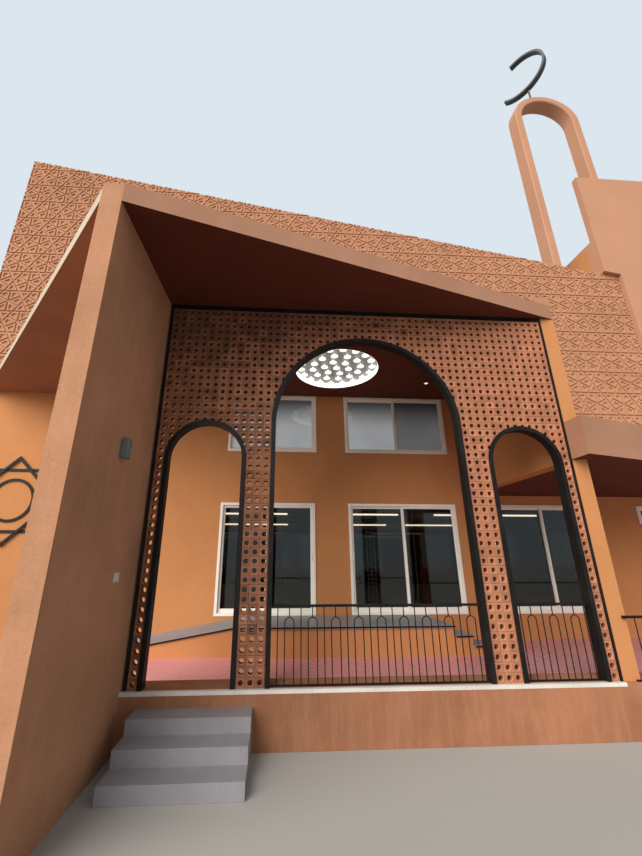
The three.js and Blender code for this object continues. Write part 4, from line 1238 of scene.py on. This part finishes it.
def make_ornament():
    """A plain eight-pointed star of flat bar on the left wall: two squares, the second turned by
    half a right angle and lying on the first, and a ring inside them."""
    y = MAIN_Y - STAR_BAR_HALF[1]
    parts = [ring_of_bar(STAR_REACH, 4, np.pi / 4, y),
             ring_of_bar(STAR_REACH, 4, np.pi / 2, y - 2 * STAR_BAR_HALF[1] - CLEARANCE),
             ring_of_bar(RING_REACH, 48, 0, y)]
    add_piece("wall_star", together(parts), "black_steel", smooth=40)


# Stage


CAMERA_PLACE = (-1.3097, -5.2853, 2.0935)
CAMERA_RIGHT = (0.998054, -0.062347, 0.000364)
CAMERA_DOWN = (0.020133, 0.316751, -0.948295)
CAMERA_FORWARD = (0.059008, 0.946457, 0.317390)
FOCAL_LENGTH, SENSOR_WIDTH = 15.933, 36.0
SHIFT_X, SHIFT_Y = 0.0216, 0.0032

SKY_LIGHT = 0.64
KEY_ENERGY, KEY_SPREAD = 4.2, 55
KEY_ELEVATION, KEY_AZIMUTH = 32, 40
STAGE_HALF, STAGE_LEVEL = 150.0, -0.002


def make_sky(scene):
    """A pale sky, brighter where the camera sees it than as a light on the building."""
    world = bpy.data.worlds.new("pale_sky")
    scene.world = world
    world.use_nodes = True
    tree = world.node_tree
    tree.nodes.clear()
    seen = add(tree, "LightPath").outputs["Is Camera Ray"]
    strength = add(tree, "MapRange", {"Value": seen, "To Min": SKY_LIGHT, "To Max": 1.0})
    sky = add(tree, "Background", {"Color": scene.mosque_colours.backdrop,
                                   "Strength": strength.outputs[0]})
    add(tree, "OutputWorld", {"Surface": sky.outputs[0]})


def make_floor(scene):
    """A wide matt floor just below the ground face."""
    corners = ((-1, -1), (1, -1), (1, 1), (-1, 1))
    points = np.array([(STAGE_HALF * x, STAGE_HALF * y, STAGE_LEVEL) for x, y in corners])
    mesh = make_mesh("stage_floor", (points, [np.array([[0, 1, 2, 3]])]))
    tree, coord = new_material("pale_stage")
    ground = scene.mosque_colours.ground
    soft = add(tree, "TexNoise", {"Vector": coord, "Scale": per_metre(2500), "Detail": 3.0})
    tone = add(tree, "Mix", {0: soft.outputs["Fac"], 6: shade(ground, 0.97),
                             7: shade(ground, 1.03)}, data_type="RGBA")
    end_material(tree, tone.outputs[2], 0.9)
    mesh.materials.append(bpy.data.materials["pale_stage"])
    floor = bpy.data.objects.new("stage_floor", mesh)
    scene.collection.objects.link(floor)


def make_key_light(scene):
    """A broad soft light from the front left."""
    sun = bpy.data.lights.new("soft_key", "SUN")
    sun.energy = KEY_ENERGY
    sun.angle = math.radians(KEY_SPREAD)
    sun.color = (1.0, 0.97, 0.93)
    key = bpy.data.objects.new("soft_key", sun)
    key.rotation_euler = (math.radians(90 - KEY_ELEVATION), 0, math.radians(-KEY_AZIMUTH))
    scene.collection.objects.link(key)


def make_camera(scene):
    """The camera, from its place and the three directions of its frame."""
    lens = bpy.data.cameras.new("camera")
    lens.lens = FOCAL_LENGTH
    lens.sensor_width = SENSOR_WIDTH
    lens.sensor_fit = "AUTO"
    lens.shift_x, lens.shift_y = SHIFT_X, SHIFT_Y
    lens.clip_end = 500
    camera = bpy.data.objects.new("camera", lens)
    placed = np.eye(4)
    placed[:3, 0] = CAMERA_RIGHT
    placed[:3, 1] = -np.array(CAMERA_DOWN)
    placed[:3, 2] = -np.array(CAMERA_FORWARD)
    placed[:3, 3] = CAMERA_PLACE
    camera.matrix_world = Matrix(placed.tolist())
    scene.collection.objects.link(camera)
    scene.camera = camera


def make_stage():
    """Sky, floor, light and camera, shown without any film look."""
    scene = bpy.context.scene
    scene.view_settings.view_transform = "Standard"
    scene.view_settings.look = "None"
    make_sky(scene)
    make_floor(scene)
    make_key_light(scene)
    make_camera(scene)


# Operators and panel


class MOSQUE_OT_finishes(bpy.types.Operator):
    """Make the finishes and give them to the solids"""

    bl_idname = "mosque.finishes"
    bl_label = "Finishes"

    def execute(self, context):
        make_materials()
        dress_nodes()
        return {"FINISHED"}


class MOSQUE_OT_screen(bpy.types.Operator):
    """Lay the clay blocks of the porch screen"""

    bl_idname = "mosque.screen"
    bl_label = "Clay block screen"

    def execute(self, context):
        make_screen()
        return {"FINISHED"}


class MOSQUE_OT_relief(bpy.types.Operator):
    """Press the star lattice into the upper wall"""

    bl_idname = "mosque.relief"
    bl_label = "Relief wall"

    def execute(self, context):
        make_relief()
        return {"FINISHED"}


class MOSQUE_OT_railings(bpy.types.Operator):
    """Build the railings of the arches and the right bay"""

    bl_idname = "mosque.railings"
    bl_label = "Railings"

    def execute(self, context):
        make_railings()
        return {"FINISHED"}


class MOSQUE_OT_ramp(bpy.types.Operator):
    """Build the ramp and the steps beside the platform"""

    bl_idname = "mosque.ramp"
    bl_label = "Ramp and steps"

    def execute(self, context):
        make_ramp_and_steps()
        return {"FINISHED"}


class MOSQUE_OT_windows(bpy.types.Operator):
    """Build the frames of all windows and the panes of the front ones"""

    bl_idname = "mosque.windows"
    bl_label = "Windows"

    def execute(self, context):
        make_front_windows()
        make_hidden_windows()
        return {"FINISHED"}


class MOSQUE_OT_lights(bpy.types.Operator):
    """Build the ceiling light, the hall's tubes, the downlight, the lamp and the switch plate"""

    bl_idname = "mosque.lights"
    bl_label = "Lights and switches"

    def execute(self, context):
        make_ceiling_light()
        make_strip_lights()
        make_downlight()
        make_fittings()
        return {"FINISHED"}


class MOSQUE_OT_minaret(bpy.types.Operator):
    """Chamfer the minaret arch and put the star on the left wall"""

    bl_idname = "mosque.minaret"
    bl_label = "Minaret arch and star"

    def execute(self, context):
        make_minaret()
        make_ornament()
        return {"FINISHED"}


class MOSQUE_OT_stage(bpy.types.Operator):
    """Set the floor, the light and the camera"""

    bl_idname = "mosque.stage"
    bl_label = "Stage"

    def execute(self, context):
        make_stage()
        return {"FINISHED"}


OPERATORS = (MOSQUE_OT_finishes, MOSQUE_OT_screen, MOSQUE_OT_relief, MOSQUE_OT_railings,
             MOSQUE_OT_ramp, MOSQUE_OT_windows, MOSQUE_OT_lights, MOSQUE_OT_minaret,
             MOSQUE_OT_stage)


class MOSQUE_PT_panel(bpy.types.Panel):
    """Sizes, colours and steps of the mosque"""

    bl_label = "Mosque"
    bl_idname = "MOSQUE_PT_panel"
    bl_space_type = "VIEW_3D"
    bl_region_type = "UI"
    bl_category = "Mosque"

    def draw(self, context):
        for group in (context.scene.mosque_sizes, context.scene.mosque_colours):
            column = self.layout.column(align=True)
            for name in group.bl_rna.properties.keys():
                if name not in ("rna_type", "name"):
                    column.prop(group, name)
        for operator in OPERATORS:
            self.layout.operator(operator.bl_idname)


CLASSES = (MosqueSizes, MosqueColours, *OPERATORS, MOSQUE_PT_panel)


def register():
    for cls in CLASSES:
        bpy.utils.register_class(cls)
    bpy.types.Scene.mosque_sizes = bpy.props.PointerProperty(type=MosqueSizes)
    bpy.types.Scene.mosque_colours = bpy.props.PointerProperty(type=MosqueColours)


def unregister():
    del bpy.types.Scene.mosque_colours
    del bpy.types.Scene.mosque_sizes
    for cls in reversed(CLASSES):
        bpy.utils.unregister_class(cls)


def main():
    register()
    steps = ("finishes", "screen", "relief", "railings", "ramp", "windows", "lights", "minaret",
             "stage")
    for name in steps:
        getattr(bpy.ops.mosque, name)()


if __name__ == "__main__":
    main()
